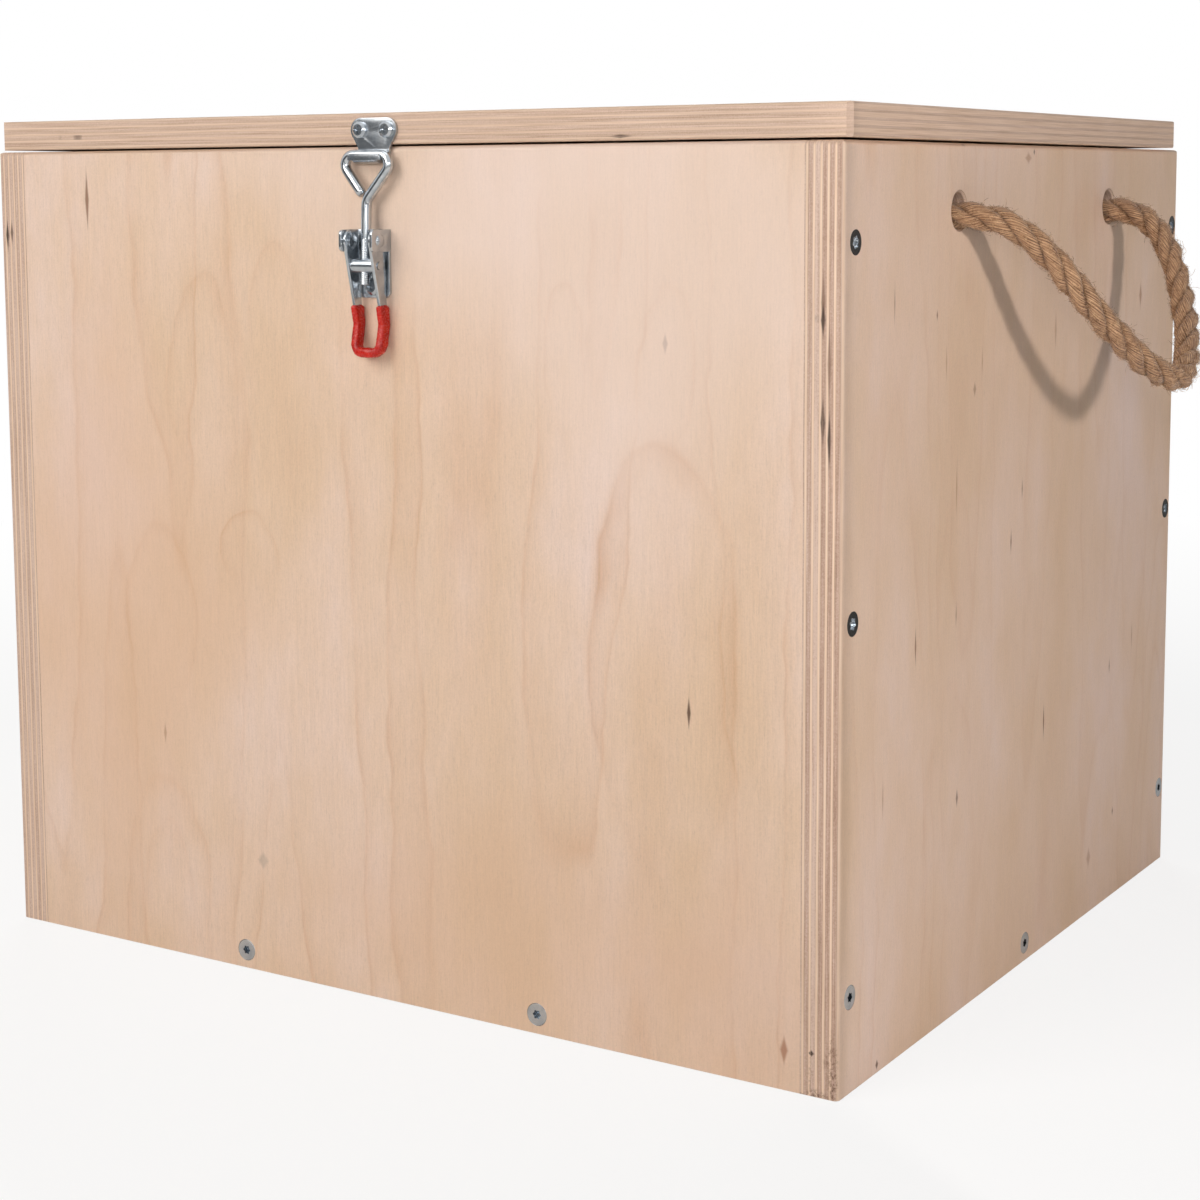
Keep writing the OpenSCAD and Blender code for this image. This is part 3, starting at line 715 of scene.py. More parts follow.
def painted_dark_reflection_steel():
    """Zinc screw heads painted near black, a painted reflection of dark surroundings, with a dull grey
    shine.
    """
    material, tree = new_material("painted_dark_reflection_steel")
    coords = add(tree, "ShaderNodeTexCoord")
    # Patches some 0.6 mm across, paler and smoother, within the painted dark reflection
    rubs = add(
        tree,
        "ShaderNodeTexNoise",
        {"Vector": coords.outputs["Object"], "Scale": 1500.0, "Detail": 4.0},
    )
    colour = set_stops(
        add(tree, "ShaderNodeValToRGB", {0: rubs.outputs[0]}),
        [(0.35, "#1E1D1B"), (0.6, "#2C2A28"), (0.8, "#56534F")],
    )
    roughness = add(
        tree,
        "ShaderNodeMapRange",
        {"Value": rubs.outputs[0], "To Min": 0.55, "To Max": 0.4},
    )
    steel = add(
        tree,
        "ShaderNodeBsdfPrincipled",
        {
            "Base Color": colour.outputs[0],
            "Metallic": 0.6,
            "Roughness": roughness.outputs[0],
        },
    )
    finish_material(tree, steel)
    return material


def dipped_red_vinyl():
    """Soft vinyl that the lever was dipped into: wet gloss over slow runs and small lumps."""
    material, tree = new_material("dipped_red_vinyl")
    coords = add(tree, "ShaderNodeTexCoord")
    # Runs some 3 mm across
    runs = add(
        tree,
        "ShaderNodeTexNoise",
        {"Vector": coords.outputs["Object"], "Scale": 320.0, "Detail": 2.0},
    )
    specks = add(
        tree,
        "ShaderNodeTexNoise",
        {"Vector": coords.outputs["Object"], "Scale": 1500.0, "Detail": 2.0},
    )
    colour = set_stops(
        add(tree, "ShaderNodeValToRGB", {0: runs.outputs[0]}),
        [(0.3, "#A30E06"), (0.5, "#BE190B"), (0.75, "#CE2E18")],
    )
    relief = add(
        tree,
        "ShaderNodeMath",
        {0: specks.outputs[0], 1: 0.5, 2: runs.outputs[0]},
        operation="MULTIPLY_ADD",
    )
    bump = add(
        tree,
        "ShaderNodeBump",
        {"Strength": 0.5, "Distance": 0.0005, "Height": relief.outputs[0]},
    )
    roughness = add(
        tree,
        "ShaderNodeMapRange",
        {"Value": specks.outputs[0], "To Min": 0.2, "To Max": 0.34},
    )
    vinyl = add(
        tree,
        "ShaderNodeBsdfPrincipled",
        {
            "Base Color": colour.outputs[0],
            "Roughness": roughness.outputs[0],
            "Normal": bump.outputs[0],
            "IOR": 1.46,
        },
    )
    finish_material(tree, vinyl)
    return material


def twisted_jute(name="twisted_jute"):
    """Three-strand jute: golden bast fibres laid into yarns, with painted shade where the strands meet."""
    material, tree = new_material(name)
    # The strand's own map: along it and around it, both in millimetres
    strand = add(tree, "ShaderNodeUVMap", uv_map="strand")
    # Yarns cross the strand at a slant, in line with the rope; each is some 1 mm wide
    slant = add(
        tree,
        "ShaderNodeMapping",
        {"Vector": strand.outputs[0], "Rotation": (0.0, 0.0, -0.62), "Scale": (5.0, 0.42, 1.0)},
        vector_type="TEXTURE",
    )
    fibres = add(
        tree,
        "ShaderNodeTexNoise",
        {"Vector": slant.outputs[0], "Scale": 0.8, "Detail": 5.0, "Roughness": 0.72,
         "Distortion": 0.6},
    )
    yarns = add(
        tree,
        "ShaderNodeTexWave",
        {"Vector": slant.outputs[0], "Scale": 0.15, "Distortion": 6.0, "Detail": 3.0,
         "Detail Scale": 1.5},
        wave_type="BANDS",
        bands_direction="Y",
    )
    depth = add(tree, "ShaderNodeAttribute", attribute_name="painted_groove_shade")
    tone = add(
        tree,
        "ShaderNodeMath",
        {0: yarns.outputs["Fac"], 1: 0.16, 2: fibres.outputs[0]},
        operation="MULTIPLY_ADD",
    )
    colour = set_stops(
        add(tree, "ShaderNodeValToRGB", {0: tone.outputs[0]}),
        [(0.36, "#3C2518"), (0.47, "#835E44"), (0.58, "#AC8563"), (0.76, "#DAB690")],
    )
    # Painted shade: darker towards the bottom of the grooves between the strands
    colour = add(
        tree,
        "ShaderNodeMix",
        {0: depth.outputs["Fac"], 6: colour.outputs[0], 7: srgb("#76573D")},
        data_type="RGBA",
        blend_type="MULTIPLY",
    )
    bump = add(
        tree,
        "ShaderNodeBump",
        {"Strength": 0.7, "Distance": 0.0006, "Height": tone.outputs[0]},
    )
    jute = add(
        tree,
        "ShaderNodeBsdfPrincipled",
        {
            "Base Color": colour.outputs[2],
            "Roughness": 0.85,
            "Normal": bump.outputs[0],
            "Sheen Weight": 0.25,
            "Sheen Roughness": 0.5,
        },
    )
    finish_material(tree, jute)
    return material


def jute_fuzz():
    """Loose bast fibres that stand off the rope, paler than it where they catch the light."""
    material, tree = new_material("loose_jute_fibre")
    coords = add(tree, "ShaderNodeTexCoord")
    patches = add(
        tree,
        "ShaderNodeTexNoise",
        {"Vector": coords.outputs["Object"], "Scale": 700.0, "Detail": 1.0},
    )
    colour = set_stops(
        add(tree, "ShaderNodeValToRGB", {0: patches.outputs[0]}),
        [(0.38, "#75502F"), (0.52, "#B38B65"), (0.66, "#E4C39B")],
    )
    fibre = add(
        tree,
        "ShaderNodeBsdfPrincipled",
        {"Base Color": colour.outputs[0], "Roughness": 0.7},
    )
    finish_material(tree, fibre)
    return material


# Meshes


def to_piece(name, mesh_or_points, faces=None, material=None, smooth=True):
    """An object from a bmesh or from points and faces, all in millimetres in the frame."""
    mesh = bpy.data.meshes.new(name)
    if faces is None:
        mesh_or_points.to_mesh(mesh)
        mesh_or_points.free()
    else:
        mesh.from_pydata([tuple(p) for p in mesh_or_points], [], faces)
    mesh.transform(Matrix.Scale(0.001, 4))
    mesh.update()
    piece = bpy.data.objects.new(name, mesh)
    bpy.context.scene.collection.objects.link(piece)
    if material:
        mesh.materials.append(material)
    if smooth:
        mesh.shade_smooth()
    return piece


def dress(node, material):
    """Gives a carried-over CAD node its finish."""
    mesh = frame["nodes"][node].data
    mesh.materials.clear()
    mesh.materials.append(material)


def rolled_edges(node, body, material, radius, segments=3):
    """A CAD node's shape with its sharp edges rounded, as pressing and tumbling leave them."""
    shape = bmesh.new()
    shape.from_mesh(frame["nodes"][node].data)
    bmesh.ops.scale(shape, vec=(1000, 1000, 1000), verts=shape.verts)
    bmesh.ops.remove_doubles(shape, verts=shape.verts, dist=0.004)
    bmesh.ops.dissolve_limit(
        shape, angle_limit=math.radians(1.0), verts=shape.verts, edges=shape.edges
    )
    sharp = [
        e for e in shape.edges
        if len(e.link_faces) == 2 and e.calc_face_angle(0.0) > math.radians(35)
    ]
    bmesh.ops.bevel(
        shape, geom=sharp, offset=radius, segments=segments, profile=0.5, affect="EDGES",
        clamp_overlap=True,
    )
    piece = to_piece(node + "_finished", shape, material=material)
    piece.data.set_sharp_from_angle(angle=math.radians(40))
    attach(piece, body)
    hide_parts(node)
    return piece


def frames_along(points):
    """A turning-free pair of side directions at each point of a line."""
    ways = []
    for i in range(len(points)):
        ahead = points[min(i + 1, len(points) - 1)] - points[max(i - 1, 0)]
        ways.append(ahead.normalized())
    side = ways[0].orthogonal().normalized()
    pairs = []
    for way in ways:
        side = (side - way * side.dot(way)).normalized()
        pairs.append((side.copy(), way.cross(side)))
    return pairs


def tube(points, radius, sides, closed_ends=True):
    """Points and faces of a tube. radius is a number, or a function of ring and angle."""
    pairs = frames_along(points)
    rim = [2 * math.pi * k / sides for k in range(sides)]
    verts, faces = [], []
    for i, (point, (a, b)) in enumerate(zip(points, pairs)):
        for angle in rim:
            r = radius(i, angle) if callable(radius) else radius
            verts.append(point + (a * math.cos(angle) + b * math.sin(angle)) * r)
    for i in range(len(points) - 1):
        for k in range(sides):
            n = (k + 1) % sides
            faces.append(
                (i * sides + k, i * sides + n, (i + 1) * sides + n, (i + 1) * sides + k)
            )
    if closed_ends:
        last = (len(points) - 1) * sides
        faces.append(tuple(reversed(range(sides))))
        faces.append(tuple(last + k for k in range(sides)))
    return verts, faces


def smooth_line(points, step):
    """A smooth line through the given points, with a point about every step of its length."""
    line = []
    ends = [2 * points[0] - points[1], *points, 2 * points[-1] - points[-2]]
    for i in range(1, len(ends) - 2):
        p0, p1, p2, p3 = ends[i - 1 : i + 3]
        count = max(2, round((p2 - p1).length / step))
        for k in range(count):
            t = k / count
            line.append(
                0.5
                * (
                    2 * p1
                    + (p2 - p0) * t
                    + (2 * p0 - 5 * p1 + 4 * p2 - p3) * t * t
                    + (3 * p1 - p0 - 3 * p2 + p3) * t**3
                )
            )
    line.append(points[-1].copy())
    return line


# Rope


def rope_mesh(line, radius, lay, seed, sides=24):
    """Three strands laid round a line. Each strand is lumpy and carries its own map.

    Returns points, faces, each corner's place in the strand map, and each point's depth in the grooves
    between the strands, which the material darkens as painted shade.
    """
    pairs = frames_along(line)
    strand_r, helix_r = radius * 0.56, radius * 0.45
    points, faces, corners, depths = [], [], [], []
    run = [0.0]
    for a, b in zip(line, line[1:]):
        run.append(run[-1] + (b - a).length)
    for strand in range(3):
        centres = []
        for point, (a, b), s in zip(line, pairs, run):
            turn = 2 * math.pi * (strand / 3 + s / lay)
            centres.append(point + (a * math.cos(turn) + b * math.sin(turn)) * helix_r)
        first = len(points)
        ring_pairs = frames_along(centres)
        for i, (centre, (a, b)) in enumerate(zip(centres, ring_pairs)):
            outward = (centre - line[i]).normalized()
            for k in range(sides):
                angle = 2 * math.pi * k / sides
                way = a * math.cos(angle) + b * math.sin(angle)
                # Yarns stand up a little on the strand, and lean the other way from its lay
                yarn = math.cos(6 * angle + 2 * math.pi * run[i] / 5.0 + strand)
                lump = noise.noise(
                    Vector((run[i] * 0.16, way.x * 0.8 + seed, way.z * 0.8 + strand * 7.0))
                )
                size = strand_r * (1 + 0.018 * yarn + 0.2 * lump)
                points.append(centre + way * size)
                depths.append(max(0.0, 0.5 - 1.2 * way.dot(outward)))
        for i in range(len(centres) - 1):
            for k in range(sides):
                n = (k + 1) % sides
                faces.append(
                    (first + i * sides + k, first + i * sides + n,
                     first + (i + 1) * sides + n, first + (i + 1) * sides + k)
                )
                around = [strand_r * 2 * math.pi * j / sides for j in (k, k + 1, k + 1, k)]
                along = [run[i], run[i], run[i + 1], run[i + 1]]
                corners += [(s + strand * 500, c) for s, c in zip(along, around)]
        last = first + (len(centres) - 1) * sides
        faces.append(tuple(first + k for k in reversed(range(sides))))
        faces.append(tuple(last + k for k in range(sides)))
        corners += [(0.0, 0.0)] * (2 * sides)
    return points, faces, corners, depths


def rope_piece(name, line, radius, lay, material, seed):
    points, faces, corners, depths = rope_mesh(line, radius, lay, seed)
    piece = to_piece(name, points, faces, material)
    strand_map = piece.data.uv_layers.new(name="strand")
    for loop, corner in zip(strand_map.data, corners):
        loop.uv = corner
    painted_groove_shade = piece.data.attributes.new("painted_groove_shade", "FLOAT", "POINT")
    painted_groove_shade.data.foreach_set("value", [min(1.0, d) for d in depths])
    return piece


def fibre_tree():
    """Geometry nodes: thin curved fibres that stand off a rope's surface."""
    tree = bpy.data.node_groups.new("loose_fibres", "GeometryNodeTree")
    face = tree.interface
    face.new_socket("Geometry", in_out="INPUT", socket_type="NodeSocketGeometry")
    for name, kind in (
        ("Fibres a square metre", "NodeSocketFloat"),
        ("Length", "NodeSocketFloat"),
        ("Thickness", "NodeSocketFloat"),
        ("Seed", "NodeSocketInt"),
        ("Material", "NodeSocketMaterial"),
    ):
        face.new_socket(name, in_out="INPUT", socket_type=kind)
    face.new_socket("Geometry", in_out="OUTPUT", socket_type="NodeSocketGeometry")
    given = tree.nodes.new("NodeGroupInput").outputs
    spread = add(
        tree,
        "GeometryNodeDistributePointsOnFaces",
        {"Mesh": given["Geometry"], "Density": given["Fibres a square metre"],
         "Seed": given["Seed"]},
    )
    # One fibre: a bowed line that leaves the surface at a low angle and curls back
    bow = add(
        tree,
        "GeometryNodeCurveQuadraticBezier",
        {"Resolution": 5, "Start": (0.0, 0.0, -0.05), "Middle": (0.35, 0.12, 0.35),
         "End": (1.0, -0.1, 0.3)},
    )
    section = add(tree, "GeometryNodeCurvePrimitiveCircle", {"Resolution": 3, "Radius": 1.0})
    thinness = add(
        tree, "ShaderNodeMath", {0: given["Thickness"], 1: given["Length"]}, operation="DIVIDE"
    )
    hair = add(
        tree,
        "GeometryNodeCurveToMesh",
        {
            "Curve": bow.outputs[0],
            "Profile Curve": section.outputs[0],
            "Scale": thinness.outputs[0],
        },
    )
    spin = add(
        tree,
        "FunctionNodeRandomValue",
        {0: (0.0, 0.0, 0.0), 1: (0.5, 0.5, 6.283), "Seed": given["Seed"]},
        data_type="FLOAT_VECTOR",
    )
    stand = add(
        tree,
        "FunctionNodeRotateRotation",
        {
            "Rotation": spread.outputs["Rotation"],
            "Rotate By": add(
                tree, "FunctionNodeEulerToRotation", {0: spin.outputs[0]}
            ).outputs[0],
        },
        rotation_space="LOCAL",
    )
    share = add(
        tree,
        "FunctionNodeRandomValue",
        {2: 0.25, 3: 1.0, "Seed": given["Seed"]},
        data_type="FLOAT",
    )
    size = add(
        tree,
        "ShaderNodeMath",
        {0: share.outputs[1], 1: given["Length"]},
        operation="MULTIPLY",
    )
    placed = add(
        tree,
        "GeometryNodeInstanceOnPoints",
        {
            "Points": spread.outputs["Points"],
            "Instance": hair.outputs[0],
            "Rotation": stand.outputs[0],
            "Scale": size.outputs[0],
        },
    )
    solid = add(tree, "GeometryNodeRealizeInstances", {"Geometry": placed.outputs[0]})
    dressed = add(
        tree,
        "GeometryNodeSetMaterial",
        {"Geometry": solid.outputs[0], "Material": given["Material"]},
    )
    out = tree.nodes.new("NodeGroupOutput")
    tree.links.new(dressed.outputs[0], out.inputs[0])
    return tree


def grown(name, start, tree, values):
    """What a geometry node tree grows from a piece, as a plain mesh. Values go by input name."""
    modifier = start.modifiers.new("grow", "NODES")
    modifier.node_group = tree
    for item in tree.interface.items_tree:
        if item.in_out == "INPUT" and item.name in values:
            modifier[item.identifier] = values[item.name]
    start.update_tag()
    depsgraph = bpy.context.evaluated_depsgraph_get()
    mesh = bpy.data.meshes.new_from_object(start.evaluated_get(depsgraph))
    mesh.name = name
    start.modifiers.remove(modifier)
    piece = bpy.data.objects.new(name, mesh)
    bpy.context.scene.collection.objects.link(piece)
    return piece


# The rope's route from the front knot over its lowest point to the back knot
ROPE_ROUTE = [
    (184.7, -77.9, 309.5), (192, -77.9, 309.5), (200, -77.7, 309.5), (208, -77.2, 309),
    (216, -76, 307), (223, -73.5, 303), (229.5, -69.5, 296.8), (235.5, -63.8, 288.6),
    (241, -56.3, 279), (246, -47, 269.4), (250.5, -36.5, 260.5), (254.5, -24.5, 252.5),
    (257.5, -12, 247.2), (259, 0, 245.2), (257.5, 12, 247.2), (254.5, 24.5, 252),
    (250.5, 36.5, 259.5), (246, 47, 268), (241, 56.5, 277), (235.5, 64.5, 286.5),
    (229.5, 71, 295), (223, 76.3, 302), (216, 80, 306.6), (208, 82.2, 309.2),
    (200, 83, 309.6), (192, 83.2, 309.6), (184.7, 83.2, 309.6),
]
ROPE_R = 5.0
ROPE_LAY = 40.0


def knot_line(end, side):
    """A stopper knot's route behind the wall: out of the hole and twice round its own tail."""
    x, y, z = end
    line = [Vector((x + 1.0, y, z)), Vector((x - 2.0, y, z + 2.0))]
    for i in range(49):
        turn = i / 24
        angle = math.pi / 2 + side * 2 * math.pi * turn
        line.append(
            Vector((x - 5.1 - 8.4 * turn / 2 * 1.05, y + 7 * math.cos(angle),
                    z + 7 * math.sin(angle)))
        )
    return line


def make_rope(jute, fuzz):
    line = smooth_line([Vector(p) for p in ROPE_ROUTE], 1.2)
    rope = rope_piece("rope", line, ROPE_R, ROPE_LAY, jute, seed=1.0)
    fibres = fibre_tree()
    pieces = []
    for name, number, long, seed in (
        ("rope_fibres_short", 360000.0, 0.0034, 3), ("rope_fibres_long", 80000.0, 0.0058, 8),
        ("rope_fibres_close", 380000.0, 0.0024, 15),
    ):
        hairs = grown(
            name, rope, fibres,
            {"Fibres a square metre": number, "Length": long, "Thickness": 0.00007,
             "Seed": seed, "Material": fuzz},
        )
        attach(hairs, "box")
        pieces.append(hairs)
    for name, end, side in (("front", ROPE_ROUTE[0], -1), ("back", ROPE_ROUTE[-1], 1)):
        turns = rope_piece(
            f"rope_knot_{name}_turns", smooth_line(knot_line(end, side), 1.4), ROPE_R * 0.98,
            ROPE_LAY, jute, seed=20.0 + side,
        )
        x, y, z = end
        tail = smooth_line(
            [Vector((x - 3, y, z)), Vector((x - 12, y + 0.5 * side, z)),
             Vector((x - 20, y + 0.8 * side, z - 0.4)), Vector((x - 29.4, y + 1.4 * side, z - 1.6))],
            1.4,
        )
        stub = rope_piece(
            f"rope_knot_{name}_tail", tail, ROPE_R * 0.98, ROPE_LAY, jute, seed=30.0 + side
        )
        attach(turns, "box")
        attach(stub, "box")
        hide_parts(f"rope_knot_{name}")
        pieces += [turns, stub]
    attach(rope, "box")
    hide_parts("rope_handle")


# Latch

# The lever strip below the pivot: drop, back edge and front edge in front of the wall
ARM_LINE = [(0.0, 2.7, 11.3), (9.5, 2.3, 9.2), (24.8, 1.4, 5.6), (32.0, 1.1, 3.9), (43.4, 3.7, 5.9)]
ARM_OUT, STRIP_T, COAT_TOP = 6.6, 1.2, 24.8
BARREL_R, ROD_R = 3.0, 2.0


def strip_edges(drop):
    """Where the lever strip's back and front edges are at a drop below the pivot."""
    for (d0, b0, f0), (d1, b1, f1) in zip(ARM_LINE, ARM_LINE[1:]):
        if drop <= d1:
            t = (drop - d0) / (d1 - d0)
            return b0 + (b1 - b0) * t, f0 + (f1 - f0) * t
    return ARM_LINE[-1][1:]


def dipped_grip(material):
    """The lever's red coat: one soft loft round the U, thin at its rim and thick at the tip."""
    middle = ARM_OUT - STRIP_T / 2
    corner = 3.6
    low = PIVOT.z - 43.4 + STRIP_T / 2
    top = PIVOT.z - COAT_TOP
    route = []
    for i in range(31):
        route.append((-middle, top - (top - low - corner) * i / 30))
    for i in range(1, 12):
        angle = math.pi + math.pi / 2 * i / 12
        route.append((-middle + corner + corner * math.cos(angle), low + corner + corner * math.sin(angle)))
    for i in range(13):
        route.append((-middle + corner + (2 * middle - 2 * corner) * i / 12, low))
    route += [(-x, z) for x, z in reversed(route[:42])]
    run = [0.0]
    for a, b in zip(route, route[1:]):
        run.append(run[-1] + math.hypot(b[0] - a[0], b[1] - a[1]))
    total, sides = run[-1], 28
    verts, faces = [], []
    for i, (x, z) in enumerate(route):
        before, after = route[max(i - 1, 0)], route[min(i + 1, len(route) - 1)]
        way = Vector((after[0] - before[0], 0, after[1] - before[1])).normalized()
        across = Vector((-way.z, 0, way.x))
        from_rim = min(run[i], total - run[i])
        back, front = strip_edges(PIVOT.z - z)
        rim = min(1.0, math.sqrt(from_rim / 0.7))
        coat = (0.98 + 0.42 * min(1.0, from_rim / (total / 2)) ** 2) * (0.25 + 0.75 * rim)
        half_t, half_d = STRIP_T / 2 + coat, (front - back) / 2 + coat * 1.15
        # The strip's corners were soft before the dip, so the coat is nearly oval at the tip
        power = 0.62 if from_rim < total / 3 else 0.7
        for k in range(sides):
            angle = 2 * math.pi * k / sides
            u = math.copysign(abs(math.cos(angle)) ** power, math.cos(angle)) * half_t
            v = math.copysign(abs(math.sin(angle)) ** power, math.sin(angle)) * half_d
            spot = Vector((LATCH_X + x, -175 - (back + front) / 2, z)) + across * u
            spot.y += v
            lump = noise.noise(spot * 0.45) * 0.16 + noise.noise(spot * 1.2) * 0.05
            spot += (across * u + Vector((0, v, 0))).normalized() * lump * rim
            if from_rim < 2.5:
                spot.z += (1 - from_rim / 2.5) * 0.7 * noise.noise(Vector((k * 0.35, i // 50, 3.0)))
            verts.append(spot)
    for i in range(len(route) - 1):
        for k in range(sides):
            n = (k + 1) % sides
            faces.append((i * sides + k, (i + 1) * sides + k, (i + 1) * sides + n, i * sides + n))
    last = (len(route) - 1) * sides
    faces.append(tuple(range(sides)))
    faces.append(tuple(last + k for k in reversed(range(sides))))
    shape = bmesh.new()
    rows = [shape.verts.new(v) for v in verts]
    for face in faces:
        shape.faces.new([rows[k] for k in face])
    bmesh.ops.recalc_face_normals(shape, faces=shape.faces)
    grip = to_piece("dipped_grip", shape, material=material)
    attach(grip, "lever")
    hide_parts("lever_grip")


def bent_loop(material):
    """The loop's bent wire in one sweep, with its cut thread below the plain shank."""
    lean = math.atan2(5.7 - 3.8, 333.0 - TRUNNION.z)
    bar = (333.0 - TRUNNION.z) / math.cos(lean)
    slope, corner, neck = math.radians(50), 3.8, 5.0
    corner_x, corner_s = 10.2 - corner, bar - corner
    leg_top = (corner_x + corner * math.sin(slope), corner_s - corner * math.cos(slope))
    neck_s = leg_top[1] - leg_top[0] * math.tan(slope)
    tangent = neck * math.tan((math.pi / 2 - slope) / 2)
    thread_end = neck_s - 14.0
    flat = []
    bottom, top = -BARREL_R - 4.3, neck_s - tangent
    steps = round((thread_end - bottom) / 0.0875)
    for i in range(steps):
        flat.append((0.0, bottom + (thread_end - bottom) * i / steps))
    for i in range(9):
        flat.append((0.0, thread_end + (top - thread_end) * i / 9))
    for i in range(12):
        angle = math.pi - (math.pi / 2 - slope) * i / 12
        flat.append((neck + neck * math.cos(angle), top + neck * math.sin(angle)))
    leg_end = (tangent * math.cos(slope), neck_s + tangent * math.sin(slope))
    for i in range(6):
        t = i / 6
        flat.append(tuple(a + (b - a) * t for a, b in zip(leg_end, leg_top)))
    sweep = math.pi - slope
    for i in range(18):
        angle = slope - math.pi / 2 + sweep * i / 18
        flat.append((corner_x + corner * math.cos(angle), corner_s + corner * math.sin(angle)))
    for i in range(9):
        flat.append((corner_x - 2 * corner_x * i / 9, bar))
    for i in range(18):
        angle = math.pi / 2 + sweep * i / 18
        flat.append((-corner_x + corner * math.cos(angle), corner_s + corner * math.sin(angle)))
    free_end = (-1.9, leg_top[1] - (leg_top[0] - 1.9) * math.tan(slope))
    for i in range(9):
        t = i / 8
        flat.append((-leg_top[0] + (leg_top[0] + free_end[0]) * t,
                     leg_top[1] + (free_end[1] - leg_top[1]) * t))
    turn = Matrix.Rotation(-lean, 3, "X")
    line = [TRUNNION + turn @ Vector((x, 0, z)) for x, z in flat]
    heights = [z for x, z in flat]
    last = len(line) - 1

    def size(i, angle):
        # The cut ends are eased, and the thread's pitch is 0.7 mm
        if i == 0 or i == last:
            return ROD_R - 0.35
        if i >= steps:
            return ROD_R
        turns = (heights[i] - bottom) / 0.7 + angle / (2 * math.pi)
        fade = min(1.0, (thread_end - heights[i]) / 1.2, (heights[i] - bottom) / 0.5 + 0.3)
        return ROD_R - 0.1 * fade * (0.5 - 0.5 * math.cos(2 * math.pi * turns))

    verts, faces = tube(line, size, 24)
    rod = to_piece("bent_loop", verts, faces, material)
    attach(rod, "loop")
    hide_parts("loop_rod")


# Screws


